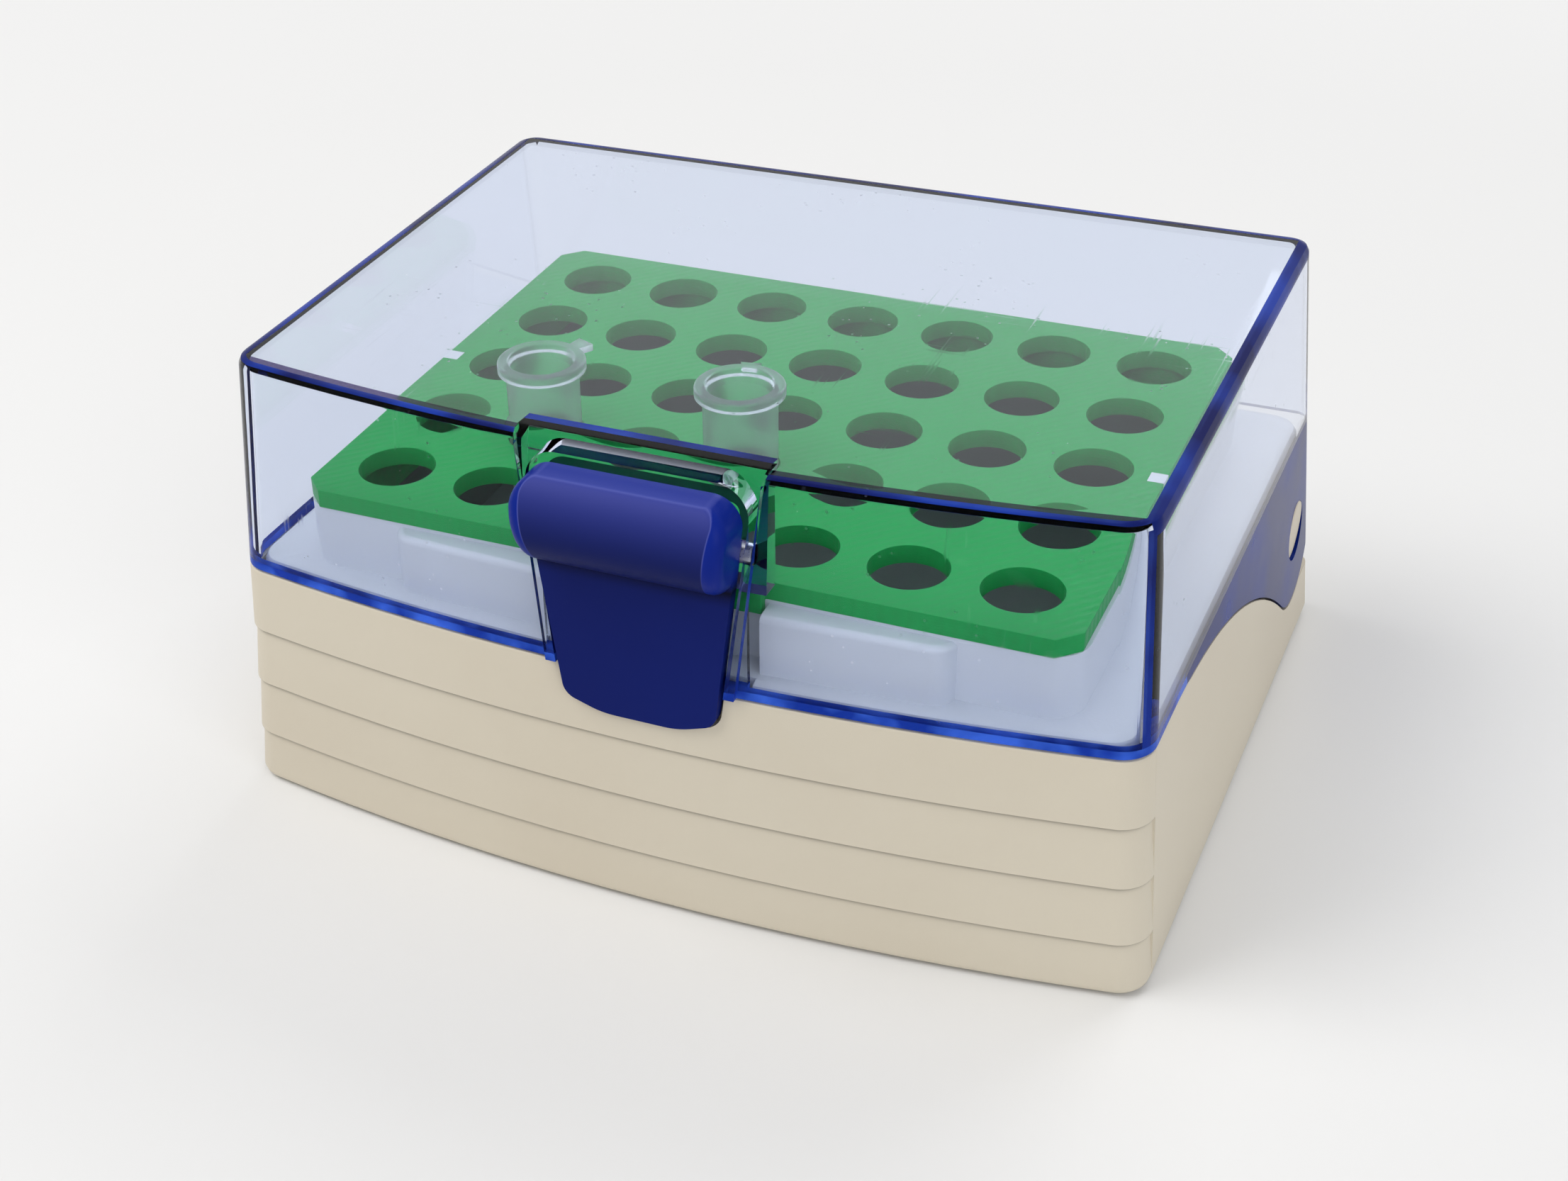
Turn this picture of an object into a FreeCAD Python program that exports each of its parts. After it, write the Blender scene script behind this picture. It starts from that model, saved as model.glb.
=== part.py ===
import FreeCAD, Part
import math
import os

import Sketcher
from FreeCAD import Placement, Rotation, Vector

# Cooling box for a rack of small tubes: a beige casing with a grey tray, a green rack plate,
# a clear hinged lid and a blue latch. X runs along the front, Y to the rear, Z up.

SIZES = {
    # outer shape, measured at the floor and at the top of the lid
    "total_height": 71.5,
    "base_half_width": 71.3,
    "top_half_width": 65.6,
    "base_front": -55.5,
    "rim_front": -53.9,
    "top_front": -51.8,
    "base_rear": 60.4,
    "top_rear": 44.7,
    "front_radius": 400,
    "corner_radius": 5,
    "rear_corner_radius": 3.2,
    # casing
    "casing_bottom": 0.5,
    "rim_height": 38.5,
    "first_step": 9.2,
    "second_step": 18.5,
    "third_step": 28,
    "step_depth": 0.4,
    "seam_y": -44.3,
    "shoulder_height": 34.2,
    "casing_wall": 2.4,
    "lip_wall": 2.1,
    "cheek_thickness": 2.3,
    "cavity_corner": 2.5,
    "bottom_round": 1.2,
    "rim_round": 0.6,
    # hinge
    "pivot_y": 44.4,
    "pivot_height": 22.5,
    "lobe_radius": 12.4,
    "ear_gap": 0.4,
    "curve_start": -36.6,
    "post_drop": 11.75,
    "pin_radius": 4.8,
    "pin_shank_radius": 3,
    "pin_fit": 0.07,
    # bottom cover, feet and screws
    "cover_gap": 0.3,
    "cover_bottom": 1,
    "cover_thickness": 2,
    "foot_radius": 5,
    "foot_x": 50,
    "foot_y": 38,
    "screw_front_y": -36,
    "screw_rear_y": 36,
    "screw_radius": 1.4,
    "screw_head_radius": 2.6,
    "screw_head_height": 1.2,
    "screw_length": 8,
    "boss_radius": 4.7,
    "boss_height": 12,
    # tray
    "ledge_height": 40,
    "ledge_thickness": 1.8,
    "ledge_round": 1.2,
    "tray_gap": 0.7,
    "tray_half_length": 57.7,
    "tray_half_depth": 43,
    "tray_top": 49.6,
    "tray_wall": 2.2,
    "tray_corner": 5,
    "well_floor": 24.5,
    "well_floor_thickness": 2,
    "grip_inner": 15.4,
    "grip_outer": 41.5,
    "grip_front": -48.4,
    "grip_height": 49,
    "grip_corner": 3.2,
    "coolant_front": -46,
    "coolant_rear": 46,
    # rack plate
    "rack_y": -1.6,
    "columns": 7,
    "rows": 5,
    "column_pitch": 15.63,
    "row_pitch": 16.6,
    "hole_radius": 5.55,
    "plate_half_length": 57.2,
    "plate_half_depth": 43.2,
    "plate_thickness": 2.8,
    "plate_chamfer": 3,
    "skirt_gap": 0.3,
    "skirt_thickness": 1.5,
    "skirt_drop": 7,
    "tab_half_width": 14.8,
    "tab_depth": 1.4,
    "tab_drop": 4.4,
    "mark_length": 2.4,
    "mark_width": 2.6,
    "mark_depth": 0.6,
    # tubes
    "tube_fit": 0.15,
    "tube_flange_reach": 0.95,
    "tube_flange_thickness": 1.5,
    "tube_wall": 1,
    "tube_length": 38.9,
    "tall_tube_length": 40.4,
    "tube_cone_length": 19,
    "tube_tip_radius": 1.9,
    # lid
    "lid_gap": 0.3,
    "lid_wall": 1.7,
    "lid_rear_edge": 40,
    "lid_edge_round": 1.1,
    # raised frame on the front of the lid, with the pocket of the latch
    "frame_proud": 0.8,
    "frame_top_rise": 1.2,
    "frame_rear": -47.3,
    "frame_half_top": 17.6,
    "frame_half_bottom": 14,
    "frame_round": 2.2,
    "window_gap": 0.55,
    "pocket_bottom": 55.6,
    "pocket_top": 70.3,
    "pocket_back": -49.1,
    "pocket_wall": 1.4,
    "channel_back": -51.95,
    # latch
    "axle_y": -51.8,
    "axle_height": 60.5,
    "axle_radius": 1.5,
    "axle_fit": 0.06,
    "flap_face": -54.9,
    "flap_thickness": 1.9,
    "latch_half_top": 15.8,
    "flap_half_bottom": 11.3,
    "flap_bottom": 31.5,
    "flap_side_bottom": 34.1,
    "flap_corner": 2.6,
    "flap_gap": 0.4,
    "recess_floor": -51.5,
    "roll_radius": 7.3,
    "roll_axis_y": -53.6,
    "roll_axis_height": 63,
    "roll_top": 69.3,
    "roll_back": -53.5,
    "roll_band_front": -57.3,
    "roll_end_round": 2,
    "roll_corner": 4,
    "lug_x": 9,
    "lug_width": 3,
    "lug_radius": 2.3,
}

doc = FreeCAD.newDocument("tube_cooling_box")
sheet = doc.addObject("Spreadsheet::Sheet", "Sizes")
for row, (alias, number) in enumerate(SIZES.items(), start=1):
    sheet.set(f"A{row}", alias.replace("_", " "))
    sheet.set(f"B{row}", str(number))
    sheet.setAlias(f"B{row}", alias)
doc.recompute()


class Size:
    """A number together with the sheet expression that gives it."""

    def __init__(self, value, text=None):
        self.value = float(value)
        self.text = text or repr(float(value))

    def __add__(self, other):
        other = as_size(other)
        return Size(self.value + other.value, f"({self.text} + {other.text})")

    def __sub__(self, other):
        other = as_size(other)
        return Size(self.value - other.value, f"({self.text} - {other.text})")

    def __mul__(self, other):
        other = as_size(other)
        return Size(self.value * other.value, f"({self.text} * {other.text})")

    def __truediv__(self, other):
        other = as_size(other)
        return Size(self.value / other.value, f"({self.text} / {other.text})")

    def __neg__(self):
        return Size(-self.value, f"(-1 * {self.text})")

    __radd__ = __add__

    def __rsub__(self, other):
        return as_size(other) - self


def as_size(thing):
    return thing if isinstance(thing, Size) else Size(thing)


def size(alias):
    return Size(sheet.get(alias), f"Sizes.{alias}")


def bind(thing, path, value):
    """Set a property and tie it to the sheet."""
    if "." not in path and not path.startswith("Constraints"):
        setattr(thing, path, as_size(value).value)
    thing.setExpression(path, as_size(value).text)


# Slopes of the outer shape

def between(low, high, low_z, high_z, z):
    return low + (high - low) * (as_size(z) - low_z) / (high_z - low_z)


def half_width(z):
    return between(size("base_half_width"), size("top_half_width"), as_size(0), size("total_height"), z)


def rear(z):
    return between(size("base_rear"), size("top_rear"), as_size(0), size("total_height"), z)


def casing_front(z):
    return between(size("base_front"), size("rim_front"), as_size(0), size("rim_height"), z)


def lid_front(z):
    return between(size("rim_front"), size("top_front"), size("rim_height"), size("total_height"), z)


def cheek_half():
    """Half width over the upright cheeks, which the leaning ears of the lid pass at every angle."""
    highest = size("pivot_height") + size("lobe_radius") + 2
    return half_width(highest) - size("lid_wall") - size("ear_gap")


def cavity_half():
    return cheek_half() - size("cheek_thickness")


def screw_x():
    return cavity_half() - size("screw_head_radius") - 1


# Sketches

def new_body(label):
    body = doc.addObject("PartDesign::Body", label)
    body.Label = label
    return body


def sketch_on(body, plane, label, offset=0, lean=0):
    """A sketch parallel to one of the body's own planes, moved along its normal."""
    sketch = body.newObject("Sketcher::SketchObject", label)
    origin = [f for f in body.Origin.OriginFeatures if f.Role == plane][0]
    sketch.AttachmentSupport = [(origin, "")]
    sketch.MapMode = "FlatFace"
    offset = as_size(offset)
    sketch.AttachmentOffset = Placement(Vector(0, 0, offset.value), Rotation(Vector(1, 0, 0), lean))
    sketch.setExpression("AttachmentOffset.Base.z", offset.text)
    return sketch


def dimension(sketch, kind, value, *where):
    value = as_size(value)
    index = sketch.addConstraint(Sketcher.Constraint(kind, *where, value.value))
    sketch.setExpression(f"Constraints[{index}]", value.text)


def pin(sketch, geometry, point, x, y):
    """Fix a point by its two coordinates."""
    for kind, value, axis in (("DistanceX", x, -2), ("DistanceY", y, -1)):
        if value is None:
            continue
        value = as_size(value)
        if value.text == "0.0":
            sketch.addConstraint(Sketcher.Constraint("PointOnObject", geometry, point, axis))
        else:
            dimension(sketch, kind, value, -1, 1, geometry, point)


def line(sketch, start, end):
    return sketch.addGeometry(Part.LineSegment(Vector(*start, 0), Vector(*end, 0)), False)


def arc(sketch, centre, radius, first, last):
    circle = Part.Circle(Vector(*centre, 0), Vector(0, 0, 1), radius)
    return sketch.addGeometry(Part.ArcOfCircle(circle, first, last), False)


def add_circle(sketch, x, y, radius):
    x, y, radius = as_size(x), as_size(y), as_size(radius)
    centre = Vector(x.value, y.value, 0)
    index = sketch.addGeometry(Part.Circle(centre, Vector(0, 0, 1), radius.value), False)
    pin(sketch, index, 3, x, y)
    dimension(sketch, "Radius", radius, index)
    return index


def polygon(sketch, corners):
    """Straight edges through (x, y) or (x, y, radius) corners, tangent arcs where a radius is given."""
    corners = [(as_size(c[0]), as_size(c[1]), as_size(c[2]) if len(c) > 2 else None) for c in corners]
    count = len(corners)
    points = [Vector(x.value, y.value, 0) for x, y, _ in corners]
    starts, ends, arcs = [], [], []
    for i in range(count):
        here, before, after = points[i], points[i - 1], points[(i + 1) % count]
        back, ahead = (before - here).normalize(), (after - here).normalize()
        radius = corners[i][2]
        if radius is None:
            starts.append(here)
            ends.append(here)
            arcs.append(None)
            continue
        half = back.getAngle(ahead) / 2
        run = radius.value / math.tan(half)
        middle = here + (back + ahead).normalize() * (radius.value / math.sin(half))
        ends.append(here + back * run)
        starts.append(here + ahead * run)
        arcs.append((middle, radius))
    lines = [
        line(sketch, (starts[i].x, starts[i].y), (ends[(i + 1) % count].x, ends[(i + 1) % count].y))
        for i in range(count)
    ]
    for i in range(count):
        x, y, radius = corners[i]
        incoming, outgoing = lines[i - 1], lines[i]
        if arcs[i] is None:
            sketch.addConstraint(Sketcher.Constraint("Coincident", incoming, 2, outgoing, 1))
            pin(sketch, outgoing, 1, x, y)
            continue
        middle = arcs[i][0]
        a, b = ends[i] - middle, starts[i] - middle
        first, last = math.atan2(a.y, a.x), math.atan2(b.y, b.x)
        counter = (a.x * b.y - a.y * b.x) > 0
        if not counter:
            first, last = last, first
        bend = arc(sketch, (middle.x, middle.y), radius.value, first, last)
        head, tail = (1, 2) if counter else (2, 1)
        sketch.addConstraint(Sketcher.Constraint("Tangent", incoming, 2, bend, head))
        sketch.addConstraint(Sketcher.Constraint("Tangent", bend, tail, outgoing, 1))
        dimension(sketch, "Radius", radius, bend)
        corner = sketch.addGeometry(Part.Point(points[i]), True)
        sketch.addConstraint(Sketcher.Constraint("PointOnObject", corner, 1, incoming))
        sketch.addConstraint(Sketcher.Constraint("PointOnObject", corner, 1, outgoing))
        pin(sketch, corner, 1, x, y)


def outline(sketch, half, front, back, radius, corner, rear_corner=None):
    """Plan outline with a bowed front, rounded front corners and straight sides and rear."""
    half, front, back = as_size(half), as_size(front), as_size(back)
    radius, corner = as_size(radius), as_size(corner)
    h, f, b, big, small = half.value, front.value, back.value, radius.value, corner.value
    reach = h - small
    mid_y = f + big - math.sqrt((big - small) ** 2 - reach**2)
    lean = math.atan2(reach, f + big - mid_y)
    down = -math.pi / 2
    bow = arc(sketch, (0, f + big), big, down - lean, down + lean)
    right = arc(sketch, (reach, mid_y), small, down + lean, 0)
    left = arc(sketch, (-reach, mid_y), small, math.pi, 3 * math.pi / 2 - lean)
    turn = as_size(rear_corner).value if rear_corner is not None else 0
    right_side = line(sketch, (h, mid_y), (h, b - turn))
    rear_edge = line(sketch, (h - turn, b), (-h + turn, b))
    left_side = line(sketch, (-h, b - turn), (-h, mid_y))
    chain = [(bow, 2, right, 1), (right, 2, right_side, 1), (left_side, 2, left, 1), (left, 2, bow, 1)]
    if rear_corner is None:
        for first, second in ((right_side, rear_edge), (rear_edge, left_side)):
            sketch.addConstraint(Sketcher.Constraint("Coincident", first, 2, second, 1))
    else:
        ends = [
            (arc(sketch, (h - turn, b - turn), turn, 0, math.pi / 2), right_side, rear_edge),
            (arc(sketch, (turn - h, b - turn), turn, math.pi / 2, math.pi), rear_edge, left_side),
        ]
        for bend, before, after in ends:
            chain += [(before, 2, bend, 1), (bend, 2, after, 1)]
            dimension(sketch, "Radius", rear_corner, bend)
    for link in chain:
        sketch.addConstraint(Sketcher.Constraint("Tangent", *link))
    dimension(sketch, "Radius", radius, bow)
    dimension(sketch, "Radius", corner, right)
    dimension(sketch, "Radius", corner, left)
    sketch.addConstraint(Sketcher.Constraint("Vertical", right_side))
    sketch.addConstraint(Sketcher.Constraint("Vertical", left_side))
    sketch.addConstraint(Sketcher.Constraint("Horizontal", rear_edge))
    pin(sketch, right_side, 1, half, None)
    pin(sketch, left_side, 1, -half, None)
    pin(sketch, rear_edge, 1, None, back)
    sketch.addConstraint(Sketcher.Constraint("PointOnObject", bow, 3, -2))
    dimension(sketch, "DistanceY", front + radius, -1, 1, bow, 3)


def side_curve(sketch, rim, lobe, far, low, post=None):
    """Side view of where casing and lid part: level rim, long curve, round notch about the pivot.

    The region below it (post is None) or above it is closed off outside the part."""
    rim, lobe = as_size(rim), as_size(lobe)
    start = size("curve_start")
    y, z = size("pivot_y"), size("pivot_height")
    run, drop = y.value - start.value, rim.value - z.value
    radius = (run**2 + drop**2 - lobe.value**2) / (2 * (drop + lobe.value))
    top = math.atan2(drop * -1 + radius, run)
    curve = arc(sketch, (start.value, rim.value - radius), radius, top, math.pi / 2)
    level = line(sketch, (-far, rim.value), (start.value, rim.value))
    touch = top + math.pi
    if post is None:
        notch = arc(sketch, (y.value, z.value), lobe.value, touch, 2 * math.pi)
        edge = line(sketch, (y.value + lobe.value, z.value), (far, z.value))
        side = line(sketch, (far, z.value), (far, low))
        bottom = line(sketch, (far, low), (-far, low))
        close = line(sketch, (-far, low), (-far, rim.value))
    else:
        post = as_size(post)
        across = math.sqrt(lobe.value**2 - (z.value - post.value) ** 2)
        notch = arc(sketch, (y.value, z.value), lobe.value, touch, math.atan2(post.value - z.value, across))
        edge = line(sketch, (y.value + across, post.value), (far, post.value))
        side = line(sketch, (far, post.value), (far, low))
        bottom = line(sketch, (far, low), (-far, low))
        close = line(sketch, (-far, low), (-far, rim.value))
    sketch.addConstraint(Sketcher.Constraint("Tangent", level, 2, curve, 2))
    sketch.addConstraint(Sketcher.Constraint("Tangent", curve, 1, notch, 1))
    for first, second in ((notch, edge), (edge, side), (side, bottom), (bottom, close), (close, level)):
        sketch.addConstraint(Sketcher.Constraint("Coincident", first, 2, second, 1))
    for flat in (level, edge, bottom):
        sketch.addConstraint(Sketcher.Constraint("Horizontal", flat))
    for upright in (side, close):
        sketch.addConstraint(Sketcher.Constraint("Vertical", upright))
    pin(sketch, level, 2, start, rim)
    pin(sketch, level, 1, -far, None)
    pin(sketch, side, 2, far, low)
    pin(sketch, notch, 3, y, z)
    dimension(sketch, "Radius", lobe, notch)
    dimension(sketch, "DistanceY", z if post is None else post, -1, 1, edge, 1)


# Features

def loft(body, sketches, label, cut=False):
    """Straight surfaces from each sketch to the next."""
    kind = "PartDesign::SubtractiveLoft" if cut else "PartDesign::AdditiveLoft"
    feature = body.newObject(kind, label)
    feature.Profile = sketches[0]
    feature.Sections = sketches[1:]
    feature.Ruled = True
    feature.Refine = False
    return feature


def rounded_block(body, label, draw, low, high, low_round=0, high_round=0):
    """Lofts between outlines drawn by draw(sketch, height, inset), with rounded lower and upper edges."""
    levels = []
    low, high = as_size(low), as_size(high)
    low_round, high_round = as_size(low_round), as_size(high_round)
    steps = 2
    if low_round.value:
        for step in range(steps):
            turn = math.radians(90 * step / steps)
            rise, inset = low_round * (1 - math.cos(turn)), low_round * (1 - math.sin(turn))
            levels.append((low + rise, inset))
    levels.append((low + low_round, as_size(0)))
    levels.append((high - high_round, as_size(0)))
    if high_round.value:
        for step in range(1, steps + 1):
            turn = math.radians(90 * step / steps)
            levels.append((high - high_round * (1 - math.sin(turn)), high_round * (1 - math.cos(turn))))
    sketches = []
    for number, (z, inset) in enumerate(levels, start=1):
        sketch = sketch_on(body, "XY_Plane", f"{label}_outline_{number}", z)
        draw(sketch, z, inset)
        sketches.append(sketch)
    loft(body, sketches, label)


def pad(body, sketch, length, label, back=False):
    feature = body.newObject("PartDesign::Pad", label)
    feature.Profile = sketch
    bind(feature, "Length", length)
    feature.Reversed = back
    feature.Refine = False
    return feature


def pocket(body, sketch, length, label, forward=False):
    """Cut against the sketch's normal, or along it."""
    feature = body.newObject("PartDesign::Pocket", label)
    feature.Profile = sketch
    bind(feature, "Length", length)
    feature.Reversed = forward
    feature.Refine = False
    return feature


def edges_where(shape, test):
    """Names of the edges whose every sampled point passes the test."""
    names = []
    for number, edge in enumerate(shape.Edges, start=1):
        points = edge.discretize(5)
        if all(test(point) for point in points):
            names.append(f"Edge{number}")
    return names


def fillet(body, label, radius, test):
    doc.recompute()
    base = body.Tip
    feature = body.newObject("PartDesign::Fillet", label)
    feature.Base = (base, edges_where(base.Shape, test))
    bind(feature, "Radius", radius)
    feature.Refine = False
    return feature


def near(a, b, slack=0.02):
    return abs(a - as_size(b).value) < slack


# Casing

def casing_outline(sketch, z, inset=0, back=None):
    corner = size("corner_radius") - inset
    outline(
        sketch,
        half_width(z) - inset,
        casing_front(z) + inset,
        rear(z) if back is None else back,
        size("front_radius") - inset,
        corner,
        size("rear_corner_radius") if back is None else None,
    )


def make_casing():
    body = new_body("outer_casing")
    rim = size("rim_height")
    levels = [size("casing_bottom"), size("first_step"), size("second_step"), size("third_step"), rim]
    inner_edge = size("curve_start") - 0.5
    low = size("casing_bottom")

    low_round, rim_round = size("bottom_round"), size("rim_round")

    # plain sides and rear, from the seam rearwards
    def sides(sketch, z, inset):
        half, back, seam = half_width(z) - inset, rear(z) - inset, size("seam_y")
        turn = size("rear_corner_radius")
        polygon(sketch, [(-half, seam), (half, seam), (half, back, turn), (-half, back, turn)])

    rounded_block(body, "sides", sides, low, rim, low_round, rim_round)

    # everything above the side curve goes
    side = sketch_on(body, "YZ_Plane", "side_curve", -100)
    side_curve(side, rim, size("lobe_radius") + size("ear_gap"), 100, 200, size("pivot_height") - size("post_drop"))
    pocket(body, side, 200, "above_side_curve", forward=True)

    # front bands, each flared over the one below
    for number in range(4):
        z0, z1 = levels[number], levels[number + 1]
        if number == 3:
            rounds = (0, rim_round)
            setback = as_size(0)
        else:
            rounds = (low_round if number == 0 else 0, 0)
            setback = size("step_depth")

        def band(sketch, z, inset, z0=z0, z1=z1, setback=setback):
            share = (z - z0) / (z1 - z0)
            casing_outline(sketch, z, inset + setback * share, inner_edge)

        rounded_block(body, f"band_{number + 1}", band, z0, z1, *rounds)

    # inner part that carries the tray and, beside the ears of the lid, the hinge pins
    shoulder = size("shoulder_height")
    inset = size("casing_wall")
    pair = []
    for z in (low + low_round, shoulder):
        sketch = sketch_on(body, "XY_Plane", f"inner_block_{len(pair) + 1}", z)
        outline(
            sketch,
            cheek_half(),
            casing_front(z) + inset,
            rear(z) - 0.02,
            size("front_radius") - inset,
            size("corner_radius") - inset,
            size("rear_corner_radius") - inset,
        )
        pair.append(sketch)
    loft(body, pair, "inner_block")

    # cavity below the shoulder
    pair = []
    for z in (low, shoulder):
        sketch = sketch_on(body, "XY_Plane", f"cavity_{len(pair) + 1}", z)
        outline(
            sketch,
            cavity_half(),
            casing_front(z) + inset,
            rear(z) - inset,
            size("front_radius") - inset,
            size("cavity_corner"),
            size("cavity_corner"),
        )
        pair.append(sketch)
    loft(body, pair, "cavity", cut=True)

    # wider mouth above the shoulder, where the lip of the tray stands
    lip = size("lip_wall")
    pair = []
    for z in (shoulder, rim):
        sketch = sketch_on(body, "XY_Plane", f"mouth_{len(pair) + 1}", z)
        outline(
            sketch,
            half_width(z) - lip,
            casing_front(z) + lip,
            as_size(80),
            size("front_radius") - lip,
            size("corner_radius") - lip,
        )
        pair.append(sketch)
    loft(body, pair, "mouth", cut=True)

    # thicker wall behind the latch, then the recess of the latch in the front
    floor, depth = size("recess_floor"), size("pocket_wall")
    block = sketch_on(body, "XZ_Plane", "recess_wall", -(floor + depth))
    wide = latch_half(rim) + size("flap_gap") + 1.6
    polygon(
        block,
        [
            (-wide, size("flap_bottom") - 3),
            (wide, size("flap_bottom") - 3),
            (wide, rim - 0.9),
            (-wide, rim - 0.9),
        ],
    )
    pad(body, block, depth + 1.2, "recess_wall_pad")
    recess = sketch_on(body, "XZ_Plane", "recess", -floor)
    flap_outline(recess, size("flap_gap"), rim + 5)
    pocket(body, recess, 20, "recess_cut", forward=True)

    # screw bosses
    bosses = sketch_on(body, "XY_Plane", "bosses", size("cover_bottom") + size("cover_thickness"))
    for x in (-screw_x(), screw_x()):
        for y in (size("screw_front_y"), size("screw_rear_y")):
            add_circle(bosses, x, y, size("boss_radius"))
    pad(body, bosses, size("boss_height"), "boss_pads")
    holes = sketch_on(body, "XY_Plane", "boss_holes", size("cover_bottom") + size("cover_thickness"))
    for x in (-screw_x(), screw_x()):
        for y in (size("screw_front_y"), size("screw_rear_y")):
            add_circle(holes, x, y, size("screw_radius"))
    pocket(body, holes, size("screw_length") + 0.5, "boss_hole_cuts", forward=True)

    # seats of the hinge pins
    seats = sketch_on(body, "YZ_Plane", "pin_seats", -100)
    add_circle(seats, size("pivot_y"), size("pivot_height"), size("pin_shank_radius"))
    pocket(body, seats, 200, "pin_seat_cuts", forward=True)
    return body


def latch_half(z):
    """Half width of the latch, which widens from the flap's end to the top of the roll."""
    low, high = size("flap_side_bottom"), size("roll_top")
    return between(size("flap_half_bottom"), size("latch_half_top"), low, high, z)


def flap_outline(sketch, grow, top):
    """Front view of the latch's flap, grown by a gap: tapered sides and a bowed lower edge."""
    grow, top = as_size(grow), as_size(top)
    low, side_low = size("flap_bottom") - grow, size("flap_side_bottom") - grow
    bottom_half, top_half = latch_half(side_low) + grow, latch_half(top) + grow
    corner = size("flap_corner") + grow
    # lower edge as an arc through three pinned points, its ends rounded into the sides
    polygon(
        sketch,
        [
            (-top_half, top),
            (-bottom_half, side_low, corner),
            (-bottom_half * 0.5, low + (side_low - low) * 0.28, 12),
            (bottom_half * 0.5, low + (side_low - low) * 0.28, 12),
            (bottom_half, side_low, corner),
            (top_half, top),
        ],
    )


# Tray, rack plate and tubes

def tray_outline(sketch, z, inset):
    """Follows the inside of the lid with a gap all round."""
    inset = size("lid_wall") + size("tray_gap") + inset
    outline(
        sketch,
        half_width(z) - inset,
        casing_front(z) + inset,
        rear(z) - inset,
        size("front_radius") - inset,
        size("tray_corner") - 1,
        size("tray_corner") - 1,
    )


def box_corners(half_x, half_y, corner=None):
    y = size("rack_y")
    corners = [(-half_x, y - half_y), (half_x, y - half_y), (half_x, y + half_y), (-half_x, y + half_y)]
    return [c + (corner,) for c in corners] if corner is not None else corners


def make_tray():
    body = new_body("inner_tray")
    top, shoulder = size("ledge_height"), size("shoulder_height")
    thick = size("ledge_thickness")

    # ledge with its lip, hollow underneath
    rounded_block(body, "ledge", tray_outline, shoulder, top, 0, size("ledge_round"))
    pair = []
    for z in (shoulder, top - thick):
        sketch = sketch_on(body, "XY_Plane", f"underside_{len(pair) + 1}", z)
        tray_outline(sketch, z, thick)
        pair.append(sketch)
    loft(body, pair, "underside", cut=True)

    # raised box that reaches down to the well's bottom
    bottom = size("well_floor") - size("well_floor_thickness")
    tub = sketch_on(body, "XY_Plane", "tub", bottom)
    half_x, half_y = size("tray_half_length"), size("tray_half_depth")
    polygon(tub, box_corners(half_x, half_y, size("tray_corner")))
    pad(body, tub, size("tray_top") - bottom, "tub_pad")

    # two grip blocks on the front of the box
    for side, label in ((-1, "left"), (1, "right")):
        grip = sketch_on(body, "XY_Plane", f"grip_{label}", top - thick)
        inner, outer = size("grip_inner") * side, size("grip_outer") * side
        back, front = size("rack_y") - half_y + 1, size("grip_front")
        corners = [
            (inner, back),
            (inner, front),
            (outer, front + 1.3, size("grip_corner")),
            (outer, back),
        ]
        polygon(grip, corners)
        pad(body, grip, size("grip_height") - top + thick, f"grip_{label}_pad")

    # well
    well = sketch_on(body, "XY_Plane", "well", size("tray_top"))
    wall = size("tray_wall")
    polygon(well, box_corners(half_x - wall, half_y - wall, size("tray_corner") - wall))
    pocket(body, well, size("tray_top") - size("well_floor"), "well_cut")

    # notch in the ledge for the latch pocket of the lid and the thick wall of the recess
    notch = sketch_on(body, "XY_Plane", "notch", top + 1)
    half_x = size("grip_inner")
    back = size("channel_back") + size("pocket_wall") + size("tray_gap") + 0.4
    polygon(notch, [(-half_x, -80), (half_x, -80), (half_x, back), (-half_x, back)])
    pocket(body, notch, top + 2 - shoulder, "notch_cut")

    # rounded edges of the box and the grips
    box_front = (size("rack_y") - size("tray_half_depth")).value

    def grip_edge(point):
        return near(point.z, size("grip_height")) and point.y < box_front - 0.1

    fillet(body, "grip_rounds", 1, grip_edge)
    return body


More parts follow.
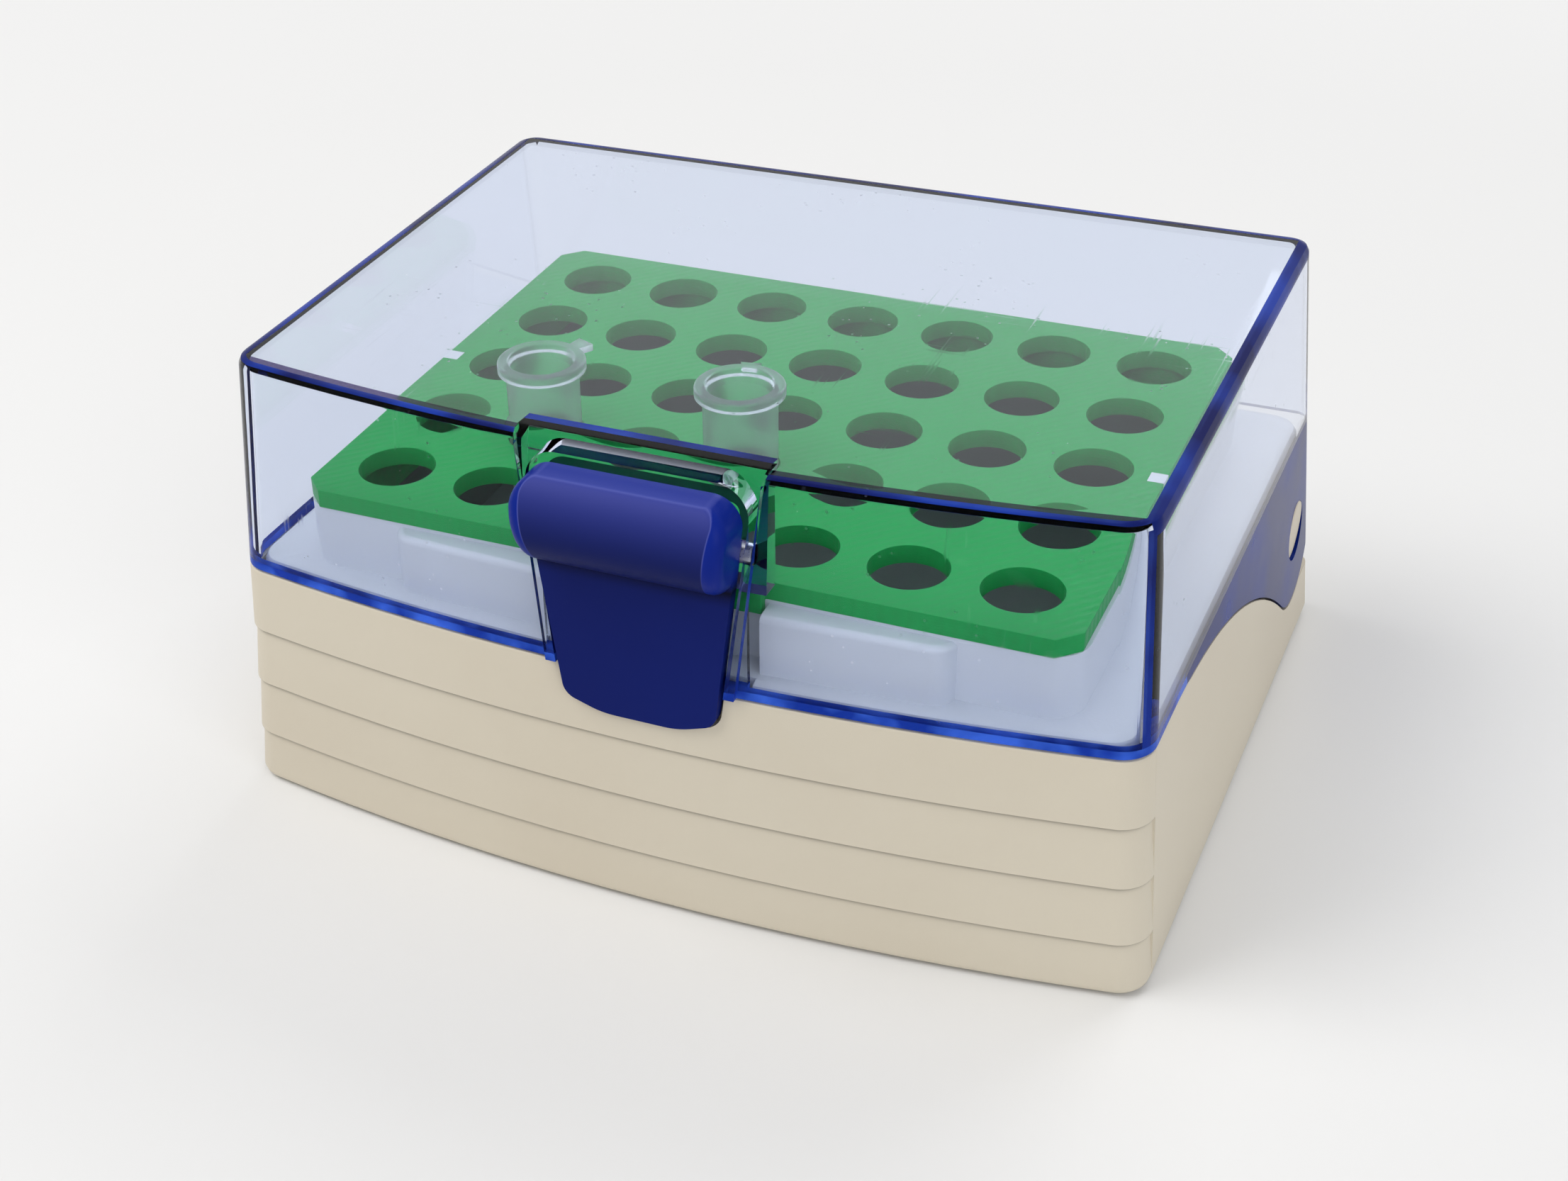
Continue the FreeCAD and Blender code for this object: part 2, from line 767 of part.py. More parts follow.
def make_plate():
    body = new_body("rack_plate")
    half_x, half_y, cut = size("plate_half_length"), size("plate_half_depth"), size("plate_chamfer")
    y, thick = size("rack_y"), size("plate_thickness")
    plate = sketch_on(body, "XY_Plane", "plate", size("tray_top"))
    polygon(
        plate,
        [
            (-half_x + cut, y - half_y),
            (half_x - cut, y - half_y),
            (half_x, y - half_y + cut),
            (half_x, y + half_y - cut),
            (half_x - cut, y + half_y),
            (-half_x + cut, y + half_y),
            (-half_x, y + half_y - cut),
            (-half_x, y - half_y + cut),
        ],
    )
    pad(body, plate, thick, "plate_pad")

    # skirt that drops into the well
    gap = size("tray_wall") + size("skirt_gap")
    outer_x, outer_y = size("tray_half_length") - gap, size("tray_half_depth") - gap
    turn = size("tray_corner") - size("tray_wall")
    skirt = sketch_on(body, "XY_Plane", "skirt", size("tray_top") + 0.5)
    polygon(skirt, box_corners(outer_x, outer_y, turn))
    wall = size("skirt_thickness")
    polygon(skirt, box_corners(outer_x - wall, outer_y - wall, turn - wall / 2))
    pad(body, skirt, size("skirt_drop") + 0.5, "skirt_pad", back=True)

    # tab that hangs between the grips
    tab = sketch_on(body, "XY_Plane", "tab", size("tray_top") + thick)
    wide = size("tab_half_width")
    front = y - half_y
    hang = front - size("tab_depth")
    polygon(tab, [(-wide, hang), (wide, hang), (wide, front + 0.15), (-wide, front + 0.15)])
    pad(body, tab, size("tab_drop"), "tab_pad", back=True)

    # grid of holes
    holes = sketch_on(body, "XY_Plane", "holes", size("tray_top") + thick)
    columns, rows = round(size("columns").value), round(size("rows").value)
    for column in range(columns):
        for row in range(rows):
            add_circle(
                holes,
                size("column_pitch") * (column - (columns - 1) / 2),
                y + size("row_pitch") * (row - (rows - 1) / 2),
                size("hole_radius"),
            )
    pocket(body, holes, thick + 1, "hole_cuts")

    # seats of the two white marks
    seats = sketch_on(body, "XY_Plane", "mark_seats", size("tray_top") + thick)
    for side in (-1, 1):
        outer, inner = half_x * side, (half_x - size("mark_length")) * side
        low, high = y - size("mark_width") / 2, y + size("mark_width") / 2
        polygon(seats, [(outer + 0.5 * side, low), (outer + 0.5 * side, high), (inner, high), (inner, low)])
    pocket(body, seats, size("mark_depth"), "mark_seat_cuts")
    return body


def make_mark(side, label):
    mark = doc.addObject("Part::Box", label)
    mark.Label = label
    bind(mark, "Length", size("mark_length"))
    bind(mark, "Width", size("mark_width"))
    bind(mark, "Height", size("mark_depth"))
    left = size("plate_half_length") - size("mark_length") if side > 0 else -size("plate_half_length")
    place(mark, left, size("rack_y") - size("mark_width") / 2,
          size("tray_top") + size("plate_thickness") - size("mark_depth"))
    return mark


def place(thing, x, y, z, rotation=None):
    x, y, z = as_size(x), as_size(y), as_size(z)
    thing.Placement = Placement(Vector(x.value, y.value, z.value), rotation or Rotation())
    for axis, value in (("x", x), ("y", y), ("z", z)):
        thing.setExpression(f"Placement.Base.{axis}", value.text)


def make_tube(label, column, row, length, stub_angle, stub_length):
    """Capless tube: flange, slightly tapered body and a long conical tip."""
    body = new_body(label)
    radius, wall = size("hole_radius") - size("tube_fit"), size("tube_wall")
    flange, rim = size("hole_radius") + size("tube_flange_reach"), size("tube_flange_thickness")
    cone, tip = size("tube_cone_length"), size("tube_tip_radius")
    profile = sketch_on(body, "XZ_Plane", "profile", 0)
    polygon(
        profile,
        [
            (0, 0),
            (tip, 0, 1.2),
            (radius - 0.15, cone),
            (radius, length - rim),
            (flange, length - rim),
            (flange, length, 0.4),
            (radius - wall + 0.5, length, 0.3),
            (radius - wall, length - 2),
            (radius - wall - 0.15, cone),
            (tip - wall + 0.1, wall),
            (0, wall),
        ],
    )
    revolve = body.newObject("PartDesign::Revolution", "turned")
    revolve.Profile = profile
    revolve.ReferenceAxis = (profile, ["V_Axis"])
    revolve.Angle = 360
    # what is left of the strap of the torn-off cap
    stub = sketch_on(body, "XY_Plane", "strap_stub", length - rim + 0.2)
    c, s = math.cos(math.radians(stub_angle)), math.sin(math.radians(stub_angle))
    corners = []
    for along, across in ((-0.6, -1.1), (0, -1.1), (1, -1.5), (1, 1.5), (0, 1.1), (-0.6, 1.1)):
        reach = flange + (stub_length if along > 0 else as_size(along))
        corners.append((reach * c - across * s, reach * s + across * c))
    polygon(stub, corners)
    pad(body, stub, rim * 0.7, "strap_stub_pad")
    place(
        body,
        size("column_pitch") * column,
        size("rack_y") + size("row_pitch") * row,
        size("well_floor"),
    )
    return body


# Bottom cover, feet, screws, coolant block and hinge pins

def make_cover():
    body = new_body("bottom_cover")
    low, thick = size("cover_bottom"), size("cover_thickness")
    plate = sketch_on(body, "XY_Plane", "plate", low)
    wall = size("casing_wall") + size("cover_gap")
    high = low + thick
    outline(
        plate,
        cavity_half() - size("cover_gap"),
        casing_front(high) + wall,
        rear(high) - wall,
        size("front_radius") - wall,
        size("cavity_corner"),
        size("cavity_corner"),
    )
    pad(body, plate, thick, "plate_pad")
    for label, radius, depth in (
        ("head_seats", size("screw_head_radius"), size("screw_head_height")),
        ("screw_holes", size("screw_radius"), thick + 1),
    ):
        holes = sketch_on(body, "XY_Plane", label, low)
        for x in (-screw_x(), screw_x()):
            for y in (size("screw_front_y"), size("screw_rear_y")):
                add_circle(holes, x, y, radius)
        pocket(body, holes, depth, f"{label}_cut", forward=True)
    return body


def make_foot(label, side_x, side_y):
    foot = doc.addObject("Part::Cylinder", label)
    foot.Label = label
    bind(foot, "Radius", size("foot_radius"))
    bind(foot, "Height", size("cover_bottom"))
    place(foot, size("foot_x") * side_x, size("foot_y") * side_y, 0)
    return foot


def make_screw(label, side_x, y):
    head = doc.addObject("Part::Cylinder", f"{label}_head")
    bind(head, "Radius", size("screw_head_radius"))
    bind(head, "Height", size("screw_head_height"))
    shank = doc.addObject("Part::Cylinder", f"{label}_shank")
    bind(shank, "Radius", size("screw_radius"))
    bind(shank, "Height", size("screw_length"))
    shank.setExpression("Placement.Base.z", size("screw_head_height").text)
    slot = doc.addObject("Part::Box", f"{label}_slot")
    bind(slot, "Length", size("screw_head_radius") * 1.4)
    bind(slot, "Width", size("screw_radius") * 0.5)
    bind(slot, "Height", size("screw_head_height") * 0.5)
    place(slot, size("screw_head_radius") * -0.7, size("screw_radius") * -0.25, 0)
    whole = doc.addObject("Part::Fuse", f"{label}_blank")
    whole.Base, whole.Tool = head, shank
    screw = doc.addObject("Part::Cut", label)
    screw.Label = label
    screw.Base, screw.Tool = whole, slot
    place(screw, screw_x() * side_x, y, size("cover_bottom"))
    return screw


def make_coolant():
    block = doc.addObject("Part::Box", "coolant_block")
    block.Label = "coolant_block"
    half = screw_x() - size("boss_radius") - 0.4
    bind(block, "Length", half * 2)
    bind(block, "Width", size("coolant_rear") - size("coolant_front"))
    floor = size("cover_bottom") + size("cover_thickness")
    bind(block, "Height", size("well_floor") - size("well_floor_thickness") - floor)
    place(block, -half, size("coolant_front"), floor)
    return block


def make_hinge_pin(label, side):
    """A disc flush with the ear of the lid on a shank that sits in the casing."""
    z = size("pivot_height")
    face = half_width(z) - 0.15
    shoulder = half_width(z) - size("lid_wall") - 0.3
    root = cavity_half()
    disc = doc.addObject("Part::Cylinder", f"{label}_disc")
    bind(disc, "Radius", size("pin_radius"))
    bind(disc, "Height", face - shoulder)
    disc.setExpression("Placement.Base.z", (shoulder - root).text)
    shank = doc.addObject("Part::Cylinder", f"{label}_shank")
    bind(shank, "Radius", size("pin_shank_radius"))
    bind(shank, "Height", face - root)
    blank = doc.addObject("Part::Fuse", f"{label}_blank")
    blank.Base, blank.Tool = disc, shank
    edge = doc.addObject("Part::Fillet", label)
    edge.Label = label
    edge.Base = blank
    doc.recompute()
    top = (face - root).value
    rounds = [
        (number, 0.3, 0.3)
        for number, e in enumerate(blank.Shape.Edges, start=1)
        if all(near(p.z, top) for p in e.discretize(5))
    ]
    edge.Edges = rounds
    place(edge, root * side, size("pivot_y"), z, Rotation(Vector(0, side, 0), 90))
    return edge


# Lid

def lid_outline(sketch, z, inset, back=None):
    outline(
        sketch,
        half_width(z) - inset,
        lid_front(z) + inset,
        rear(z) - inset if back is None else back,
        size("front_radius") - inset,
        size("corner_radius") - inset,
        size("rear_corner_radius") - inset if back is None else None,
    )


def make_lid():
    body = new_body("lid")
    top, wall, rim = size("total_height"), size("lid_wall"), size("rim_height") + size("lid_gap")
    rounded_block(body, "outer", lid_outline, as_size(6), top, 0, size("lid_edge_round"))

    # raised frame over the front edge, leaning back like the front itself
    slope = (size("rim_front") - size("top_front")).value / (top - size("rim_height")).value
    lean = math.degrees(math.atan(slope))
    proud = size("frame_proud")
    foot = lid_front(as_size(0)) - proud
    frame = sketch_on(body, "XZ_Plane", "frame", -foot, lean)
    head = top + size("frame_top_rise")

    def frame_half(z):
        return between(size("frame_half_bottom"), size("frame_half_top"), rim, head, z)

    low = rim - 4
    narrow, wide = frame_half(low), frame_half(head)
    polygon(frame, [(-narrow, low), (narrow, low), (wide, head), (-wide, head)])
    pad(body, frame, size("frame_rear") - lid_front(head) + proud, "frame_pad", back=True)

    def frame_edge(point):
        return point.z > head.value - 0.4 and near(point.y, lid_front(head) - proud, 0.3)

    fillet(body, "frame_top_round", size("frame_round"), frame_edge)

    # inside
    pair = []
    for z in (as_size(-4), top - wall):
        sketch = sketch_on(body, "XY_Plane", f"inner_{len(pair) + 1}", z)
        lid_outline(sketch, z, wall)
        pair.append(sketch)
    loft(body, pair, "inner", cut=True)

    # walls of the latch pocket, inside the front
    skin, gap = size("pocket_wall"), size("window_gap")
    deep, shallow = size("pocket_back"), size("channel_back")
    pocket_half, pocket_low = latch_half(size("pocket_top")) + gap + 1, size("pocket_bottom")
    for label, wide, low, high, back in (
        ("pocket_block", pocket_half, pocket_low - skin, top - wall / 2, deep),
        ("channel_block", size("grip_inner") - 0.5, rim - 4, pocket_low, shallow),
    ):
        block = sketch_on(body, "XZ_Plane", label, -(back + skin))
        polygon(block, [(-wide, low), (wide, low), (wide, high), (-wide, high)])
        pad(body, block, back + skin - lid_front(top) - 0.4, f"{label}_pad")

    # window that follows the latch: deep behind the roll, shallow behind the flap
    for label, low, high, back, turn in (
        ("pocket", size("pocket_bottom"), size("pocket_top"), deep, size("roll_corner") + gap),
        ("channel", rim - 8, size("pocket_bottom") + 1, shallow, None),
    ):
        mouth = sketch_on(body, "XZ_Plane", label, -back)
        low_half, high_half = latch_half(low) + gap, latch_half(high) + gap
        upper = [(high_half, high), (-high_half, high)]
        if turn is not None:
            upper = [corner + (turn,) for corner in upper]
        polygon(mouth, [(-low_half, low), (low_half, low)] + upper)
        pocket(body, mouth, 20, f"{label}_cut", forward=True)

    # lower edge: level at the front, then down and round the pivot
    side = sketch_on(body, "YZ_Plane", "lower_edge", -100)
    side_curve(side, rim, size("lobe_radius"), 100, -40)
    pocket(body, side, 200, "lower_edge_cut", forward=True)

    # the rear wall ends above the hinge, between the two ears
    pair = []
    for z in (as_size(-5), size("lid_rear_edge")):
        sketch = sketch_on(body, "XY_Plane", f"rear_opening_{len(pair) + 1}", z)
        half = half_width(z) - wall
        polygon(sketch, [(-half, 0), (half, 0), (half, 120), (-half, 120)])
        pair.append(sketch)
    loft(body, pair, "rear_opening", cut=True)

    # holes for the hinge pins and the latch axle
    holes = sketch_on(body, "YZ_Plane", "pin_holes", -100)
    add_circle(holes, size("pivot_y"), size("pivot_height"), size("pin_radius") + size("pin_fit"))
    pocket(body, holes, 200, "pin_hole_cuts", forward=True)
    axle = sketch_on(body, "YZ_Plane", "axle_hole", -axle_half())
    add_circle(axle, size("axle_y"), size("axle_height"), size("axle_radius"))
    pocket(body, axle, axle_half() * 2, "axle_hole_cut", forward=True)
    return body


def axle_half():
    """The axle ends in the side walls of the pocket."""
    return latch_half(size("axle_height")) + size("window_gap") + 1


def make_axle():
    axle = doc.addObject("Part::Cylinder", "latch_axle")
    axle.Label = "latch_axle"
    bind(axle, "Radius", size("axle_radius"))
    half = axle_half()
    bind(axle, "Height", half * 2)
    place(axle, -half, size("axle_y"), size("axle_height"), Rotation(Vector(0, 1, 0), 90))
    return axle


def make_latch():
    body = new_body("latch")
    wide = size("latch_half_top") + 1

    # roll: flat band on top, round face in front
    roll = sketch_on(body, "YZ_Plane", "roll", -wide)
    axis_y, axis_z, radius = size("roll_axis_y"), size("roll_axis_height"), size("roll_radius")
    front, top, back = size("roll_band_front"), size("roll_top"), size("roll_back")
    r = radius.value
    across = (front - axis_y).value
    start = (across, math.sqrt(r**2 - across**2))
    across = (back - axis_y).value
    end = (across, -math.sqrt(r**2 - across**2))
    centre = (axis_y.value, axis_z.value)
    first, last = math.atan2(start[1], start[0]), math.atan2(end[1], end[0]) + 2 * math.pi
    face = arc(roll, centre, r, first, last)
    rear_line = line(roll, (centre[0] + end[0], centre[1] + end[1]), (back.value, top.value))
    band = line(roll, (back.value, top.value), (centre[0] + start[0], centre[1] + start[1]))
    for before, after in ((face, rear_line), (rear_line, band), (band, face)):
        roll.addConstraint(Sketcher.Constraint("Coincident", before, 2, after, 1))
    roll.addConstraint(Sketcher.Constraint("Vertical", rear_line))
    pin(roll, face, 3, axis_y, axis_z)
    dimension(roll, "Radius", radius, face)
    pin(roll, rear_line, 2, back, top)
    pin(roll, face, 1, front, None)
    pad(body, roll, wide * 2, "roll_pad")

    # its ends follow the taper of the flap and turn round into the top
    ends = sketch_on(body, "XZ_Plane", "roll_ends", 0)
    low = size("pocket_bottom") - 3
    high = top + 2
    polygon(ends, [(-wide - 3, low - 1), (wide + 3, low - 1), (wide + 3, high), (-wide - 3, high)])
    turn = size("roll_corner")
    low_half, top_half = latch_half(low), latch_half(top)
    polygon(ends, [(-low_half, low), (low_half, low), (top_half, top, turn), (-top_half, top, turn)])
    pocket(body, ends, 100, "roll_end_cuts", forward=True)

    def round_edge(point):
        inside = math.hypot(point.y - axis_y.value, point.z - axis_z.value)
        return near(inside, radius) and abs(point.x) > (latch_half(low) - turn).value

    fillet(body, "roll_rounds", size("roll_end_round"), round_edge)

    # flap
    flap = sketch_on(body, "XZ_Plane", "flap", -size("flap_face") - size("flap_thickness"))
    flap_outline(flap, 0, size("roll_axis_height"))
    pad(body, flap, size("flap_thickness"), "flap_pad")

    # lugs that carry the latch on its axle
    for side, label in ((-1, "left"), (1, "right")):
        lug = sketch_on(body, "YZ_Plane", f"lug_{label}", size("lug_x") * side - size("lug_width") / 2)
        y, z, reach = size("axle_y"), size("axle_height"), size("lug_radius")
        polygon(
            lug,
            [
                (back - 0.5, z - reach),
                (y + reach, z - reach, reach * 0.98),
                (y + reach, z + reach, reach * 0.98),
                (back - 0.5, z + reach),
            ],
        )
        pad(body, lug, size("lug_width"), f"lug_{label}_pad")
    hole = sketch_on(body, "YZ_Plane", "axle_hole", -wide)
    add_circle(hole, size("axle_y"), size("axle_height"), size("axle_radius") + size("axle_fit"))
    pocket(body, hole, wide * 2, "axle_hole_cut", forward=True)
    return body


nodes = [
    make_casing(),
    make_cover(),
    make_coolant(),
    make_tray(),
    make_plate(),
    make_mark(-1, "mark_left"),
    make_mark(1, "mark_right"),
    make_tube("tube_1", -2, -1, size("tube_length"), 68, as_size(2.2)),
    make_tube("tube_2", 0, -1, size("tall_tube_length"), 100, as_size(0.7)),
    make_hinge_pin("hinge_pin_left", -1),
    make_hinge_pin("hinge_pin_right", 1),
    make_lid(),
    make_axle(),
    make_latch(),
]
corner = 0
for side_y, screw_y in ((-1, size("screw_front_y")), (1, size("screw_rear_y"))):
    for side_x in (-1, 1):
        corner += 1
        nodes.append(make_foot(f"foot_{corner}", side_x, side_y))
        nodes.append(make_screw(f"base_screw_{corner}", side_x, screw_y))
doc.recompute()

# Nothing is written unless every object is sound
for item in doc.Objects:
    for word in ("Invalid", "Error"):
        if word in item.State:
            raise RuntimeError(f"{item.Label}: {item.State}")
for node in nodes:
    shape = node.Shape
    if shape.isNull() or not shape.isValid() or not shape.Solids:
        raise RuntimeError(f"{node.Label} has no valid solid")

os.makedirs("parts", exist_ok=True)
for node in nodes:
    node.Shape.exportStep(f"parts/{node.Label}.step")
    box = node.Shape.BoundBox
    spans = [(box.XMin, box.XMax), (box.YMin, box.YMax), (box.ZMin, box.ZMax)]
    extent = ", ".join(f"{low:.2f} to {high:.2f}" for low, high in spans)
    print(f"{node.Label}: {len(node.Shape.Solids)} solid, {node.Shape.Volume:.0f} mm3, {extent}")
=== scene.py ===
import bpy
import bmesh
import math
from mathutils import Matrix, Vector


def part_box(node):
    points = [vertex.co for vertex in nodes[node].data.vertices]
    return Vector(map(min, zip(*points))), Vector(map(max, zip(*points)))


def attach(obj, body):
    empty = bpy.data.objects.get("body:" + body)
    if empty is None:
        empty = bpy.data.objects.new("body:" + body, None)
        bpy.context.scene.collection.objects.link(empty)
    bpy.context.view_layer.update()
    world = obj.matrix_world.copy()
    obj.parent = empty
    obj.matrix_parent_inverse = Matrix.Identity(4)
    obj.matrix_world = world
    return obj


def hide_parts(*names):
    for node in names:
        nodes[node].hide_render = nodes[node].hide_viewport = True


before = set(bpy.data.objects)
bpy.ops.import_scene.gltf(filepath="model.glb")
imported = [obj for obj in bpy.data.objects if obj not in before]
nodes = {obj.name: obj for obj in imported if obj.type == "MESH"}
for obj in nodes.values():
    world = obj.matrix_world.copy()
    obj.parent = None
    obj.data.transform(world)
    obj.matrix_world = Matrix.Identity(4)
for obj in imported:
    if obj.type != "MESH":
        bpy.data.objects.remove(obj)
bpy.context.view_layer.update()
mm = 0.001
print("frame loaded:", len(nodes), "nodes")


# small helpers

def activate(piece):
    bpy.ops.object.select_all(action="DESELECT")
    piece.select_set(True)
    bpy.context.view_layer.objects.active = piece


def finishMaterial(piece, material):
    piece.data.materials.clear()
    piece.data.materials.append(material)


# node helpers: a value is a number or colour, or another node's output

def addNode(tree, kind, **settings):
    node = tree.nodes.new(kind)
    for key, value in settings.items():
        setattr(node, key, value)
    return node


def feed(tree, socket, value):
    if isinstance(value, (int, float, tuple)):
        socket.default_value = value
    else:
        tree.links.new(value, socket)


def mathNode(tree, operation, first, second=None, clamp=False):
    node = addNode(tree, "ShaderNodeMath", operation=operation, use_clamp=clamp)
    feed(tree, node.inputs[0], first)
    if second is not None:
        feed(tree, node.inputs[1], second)
    return node.outputs[0]


def combine(tree, operation, *masks):
    total = masks[0]
    for mask in masks[1:]:
        total = mathNode(tree, operation, total, mask)
    return total


def hypotenuse(tree, first, second):
    squares = [mathNode(tree, "MULTIPLY", side, side) for side in (first, second)]
    return mathNode(tree, "SQRT", mathNode(tree, "ADD", *squares))


def excess(tree, value, limit):
    return mathNode(tree, "MAXIMUM", mathNode(tree, "SUBTRACT", value, limit), 0.0)


def noiseNode(tree, vector, scale, detail=3.0, roughness=0.55):
    node = addNode(tree, "ShaderNodeTexNoise")
    for key, value in (("Vector", vector), ("Scale", scale), ("Detail", detail), ("Roughness", roughness)):
        feed(tree, node.inputs[key], value)
    return node.outputs["Fac"]


def mixColours(tree, factor, first, second):
    node = addNode(tree, "ShaderNodeMix", data_type="RGBA")
    feed(tree, node.inputs[0], factor)
    for key, value in ((6, first), (7, second)):
        feed(tree, node.inputs[key], value + (1,) if isinstance(value, tuple) else value)
    return node.outputs[2]


def rangeNode(tree, value, low, high, toLow=0.0, toHigh=1.0):
    node = addNode(tree, "ShaderNodeMapRange")
    tree.links.new(value, node.inputs["Value"])
    for key, number in (("From Min", low), ("From Max", high), ("To Min", toLow), ("To Max", toHigh)):
        node.inputs[key].default_value = number
    return node.outputs["Result"]


def axesOf(tree, coords):
    split = addNode(tree, "ShaderNodeSeparateXYZ")
    tree.links.new(coords, split.inputs["Vector"])
    return split.outputs["X"], split.outputs["Y"], split.outputs["Z"]


# node groups that several materials share

def newGroup(name, numbers, outputs):
    group = bpy.data.node_groups.new(name, "ShaderNodeTree")
    group.interface.new_socket("Vector", in_out="INPUT", socket_type="NodeSocketVector")
    for label, value in numbers.items():
        socket = group.interface.new_socket(label, in_out="INPUT", socket_type="NodeSocketFloat")
        socket.default_value = value
    for label in outputs:
        group.interface.new_socket(label, in_out="OUTPUT", socket_type="NodeSocketFloat")
    return group, group.nodes.new("NodeGroupInput"), group.nodes.new("NodeGroupOutput")


def buildMouldGrain():
    # fine spark-eroded texture of a moulding: a height for bump and a slow mottle
    values = {"grain": 3000.0, "mottle": 22.0}
    tree, start, end = newGroup("mouldGrain", {"Grain Scale": values["grain"]}, ("Height", "Mottle"))
    vector = start.outputs["Vector"]
    fine = noiseNode(tree, vector, start.outputs["Grain Scale"], detail=2.0, roughness=0.6)
    tree.links.new(fine, end.inputs["Height"])
    tree.links.new(noiseNode(tree, vector, values["mottle"], roughness=0.5), end.inputs["Mottle"])
    return tree


def buildDustSpecks():
    # a small spot in some of the cells, in patches
    values = {"scale": 900.0, "size": 0.1, "bare": 0.8, "patchScale": 40.0, "patch": (0.45, 0.62)}
    numbers = {"Speck Scale": values["scale"], "Speck Size": values["size"]}
    tree, start, end = newGroup("dustSpecks", numbers, ("Mask",))
    vector = start.outputs["Vector"]
    cells = addNode(tree, "ShaderNodeTexVoronoi", feature="F1")
    tree.links.new(vector, cells.inputs["Vector"])
    tree.links.new(start.outputs["Speck Scale"], cells.inputs["Scale"])
    spot = mathNode(tree, "LESS_THAN", cells.outputs["Distance"], start.outputs["Speck Size"])
    shade = addNode(tree, "ShaderNodeSeparateColor")
    tree.links.new(cells.outputs["Color"], shade.inputs["Color"])
    chosen = mathNode(tree, "GREATER_THAN", shade.outputs["Red"], values["bare"])
    patch = rangeNode(tree, noiseNode(tree, vector, values["patchScale"], detail=2.0), *values["patch"])
    tree.links.new(combine(tree, "MULTIPLY", spot, chosen, patch), end.inputs["Mask"])
    return tree


def buildFineScratches():
    # hairline scratches in three directions, in patches
    values = {
        "strands": ((0.5, (1400, 30, 200)), (-0.9, (40, 1200, 200)), (0.2, (1700, 25, 150))),
        "line": (0.68, 0.74), "patchScale": 35.0, "patch": (0.5, 0.7), "amount": 0.5,
    }
    tree, start, end = newGroup("fineScratches", {"Amount": values["amount"]}, ("Mask",))
    vector = start.outputs["Vector"]
    lines = []
    for turn, stretch in values["strands"]:
        mapping = addNode(tree, "ShaderNodeMapping")
        mapping.inputs["Rotation"].default_value = (0, 0, turn)
        mapping.inputs["Scale"].default_value = stretch
        tree.links.new(vector, mapping.inputs["Vector"])
        strands = noiseNode(tree, mapping.outputs["Vector"], 1.0, detail=1.0, roughness=0.4)
        lines.append(rangeNode(tree, strands, *values["line"]))
    patch = rangeNode(tree, noiseNode(tree, vector, values["patchScale"], detail=2.0), *values["patch"])
    faded = mathNode(tree, "MULTIPLY", combine(tree, "MAXIMUM", *lines), patch)
    mask = mathNode(tree, "MULTIPLY", faded, start.outputs["Amount"], clamp=True)
    tree.links.new(mask, end.inputs["Mask"])
    return tree


groups = {
    "mouldGrain": buildMouldGrain(), "dustSpecks": buildDustSpecks(), "fineScratches": buildFineScratches(),
}
print("shared node groups:", ", ".join(groups))


# materials

def newMaterial(name):
    material = bpy.data.materials.new(name)
    material.use_nodes = True
    tree = material.node_tree
    coords = addNode(tree, "ShaderNodeTexCoord").outputs["Object"]
    return material, tree, tree.nodes["Principled BSDF"], coords


def placeGroup(tree, name, coords, numbers):
    node = addNode(tree, "ShaderNodeGroup", node_tree=groups[name])
    tree.links.new(coords, node.inputs["Vector"])
    for label, value in numbers.items():
        node.inputs[label].default_value = value
    return node


def addBump(tree, shader, height, strength, distance):
    bump = addNode(tree, "ShaderNodeBump")
    bump.inputs["Strength"].default_value = strength
    bump.inputs["Distance"].default_value = distance
    tree.links.new(height, bump.inputs["Height"])
    tree.links.new(bump.outputs["Normal"], shader.inputs["Normal"])


def layColour(tree, shader, mask, colour):
    base = shader.inputs["Base Color"]
    tree.links.new(mixColours(tree, mask, base.links[0].from_socket, colour), base)


def mouldedPlastic(name, values):
    material, tree, shader, coords = newMaterial(name)
    texture = placeGroup(tree, "mouldGrain", coords, {"Grain Scale": values.get("grain", 3000.0)})
    mottle = texture.outputs["Mottle"]
    blend = rangeNode(tree, mottle, 0.35, 0.65)
    tree.links.new(mixColours(tree, blend, values["dark"], values["colour"]), shader.inputs["Base Color"])
    smooth, rough = values["roughness"] - 0.05, values["roughness"] + 0.05
    tree.links.new(rangeNode(tree, mottle, 0.3, 0.7, smooth, rough), shader.inputs["Roughness"])
    shader.inputs["Specular IOR Level"].default_value = values.get("specular", 0.5)
    addBump(tree, shader, texture.outputs["Height"], values.get("bump", 0.12), 0.12 * mm)
    return material, tree, shader, coords


def makeCasingPlastic():
    # soft shade in the corner below the lip of each band, on the front
    values = {
        "colour": (0.66, 0.60, 0.485), "dark": (0.63, 0.565, 0.45), "roughness": 0.46,
        "lipShade": (0.12, 0.10, 0.075), "levels": (9.2, 18.5, 28.0), "depth": 1.2, "over": 0.02,
        "fade": 3.0, "front": -44.4,
    }
    material, tree, shader, coords = mouldedPlastic("casingPlastic", values)
    across, depth, height = axesOf(tree, coords)
    lines = []
    for level in values["levels"]:
        under = rangeNode(tree, height, (level - values["depth"]) * mm, level * mm)
        below = mathNode(tree, "LESS_THAN", height, (level + values["over"]) * mm)
        lines.append(mathNode(tree, "MULTIPLY", mathNode(tree, "POWER", under, values["fade"]), below))
    front = mathNode(tree, "LESS_THAN", depth, values["front"] * mm)
    mask = mathNode(tree, "MULTIPLY", combine(tree, "MAXIMUM", *lines), front)
    # painted shade under the lip of each band
    layColour(tree, shader, mask, values["lipShade"])
    return material


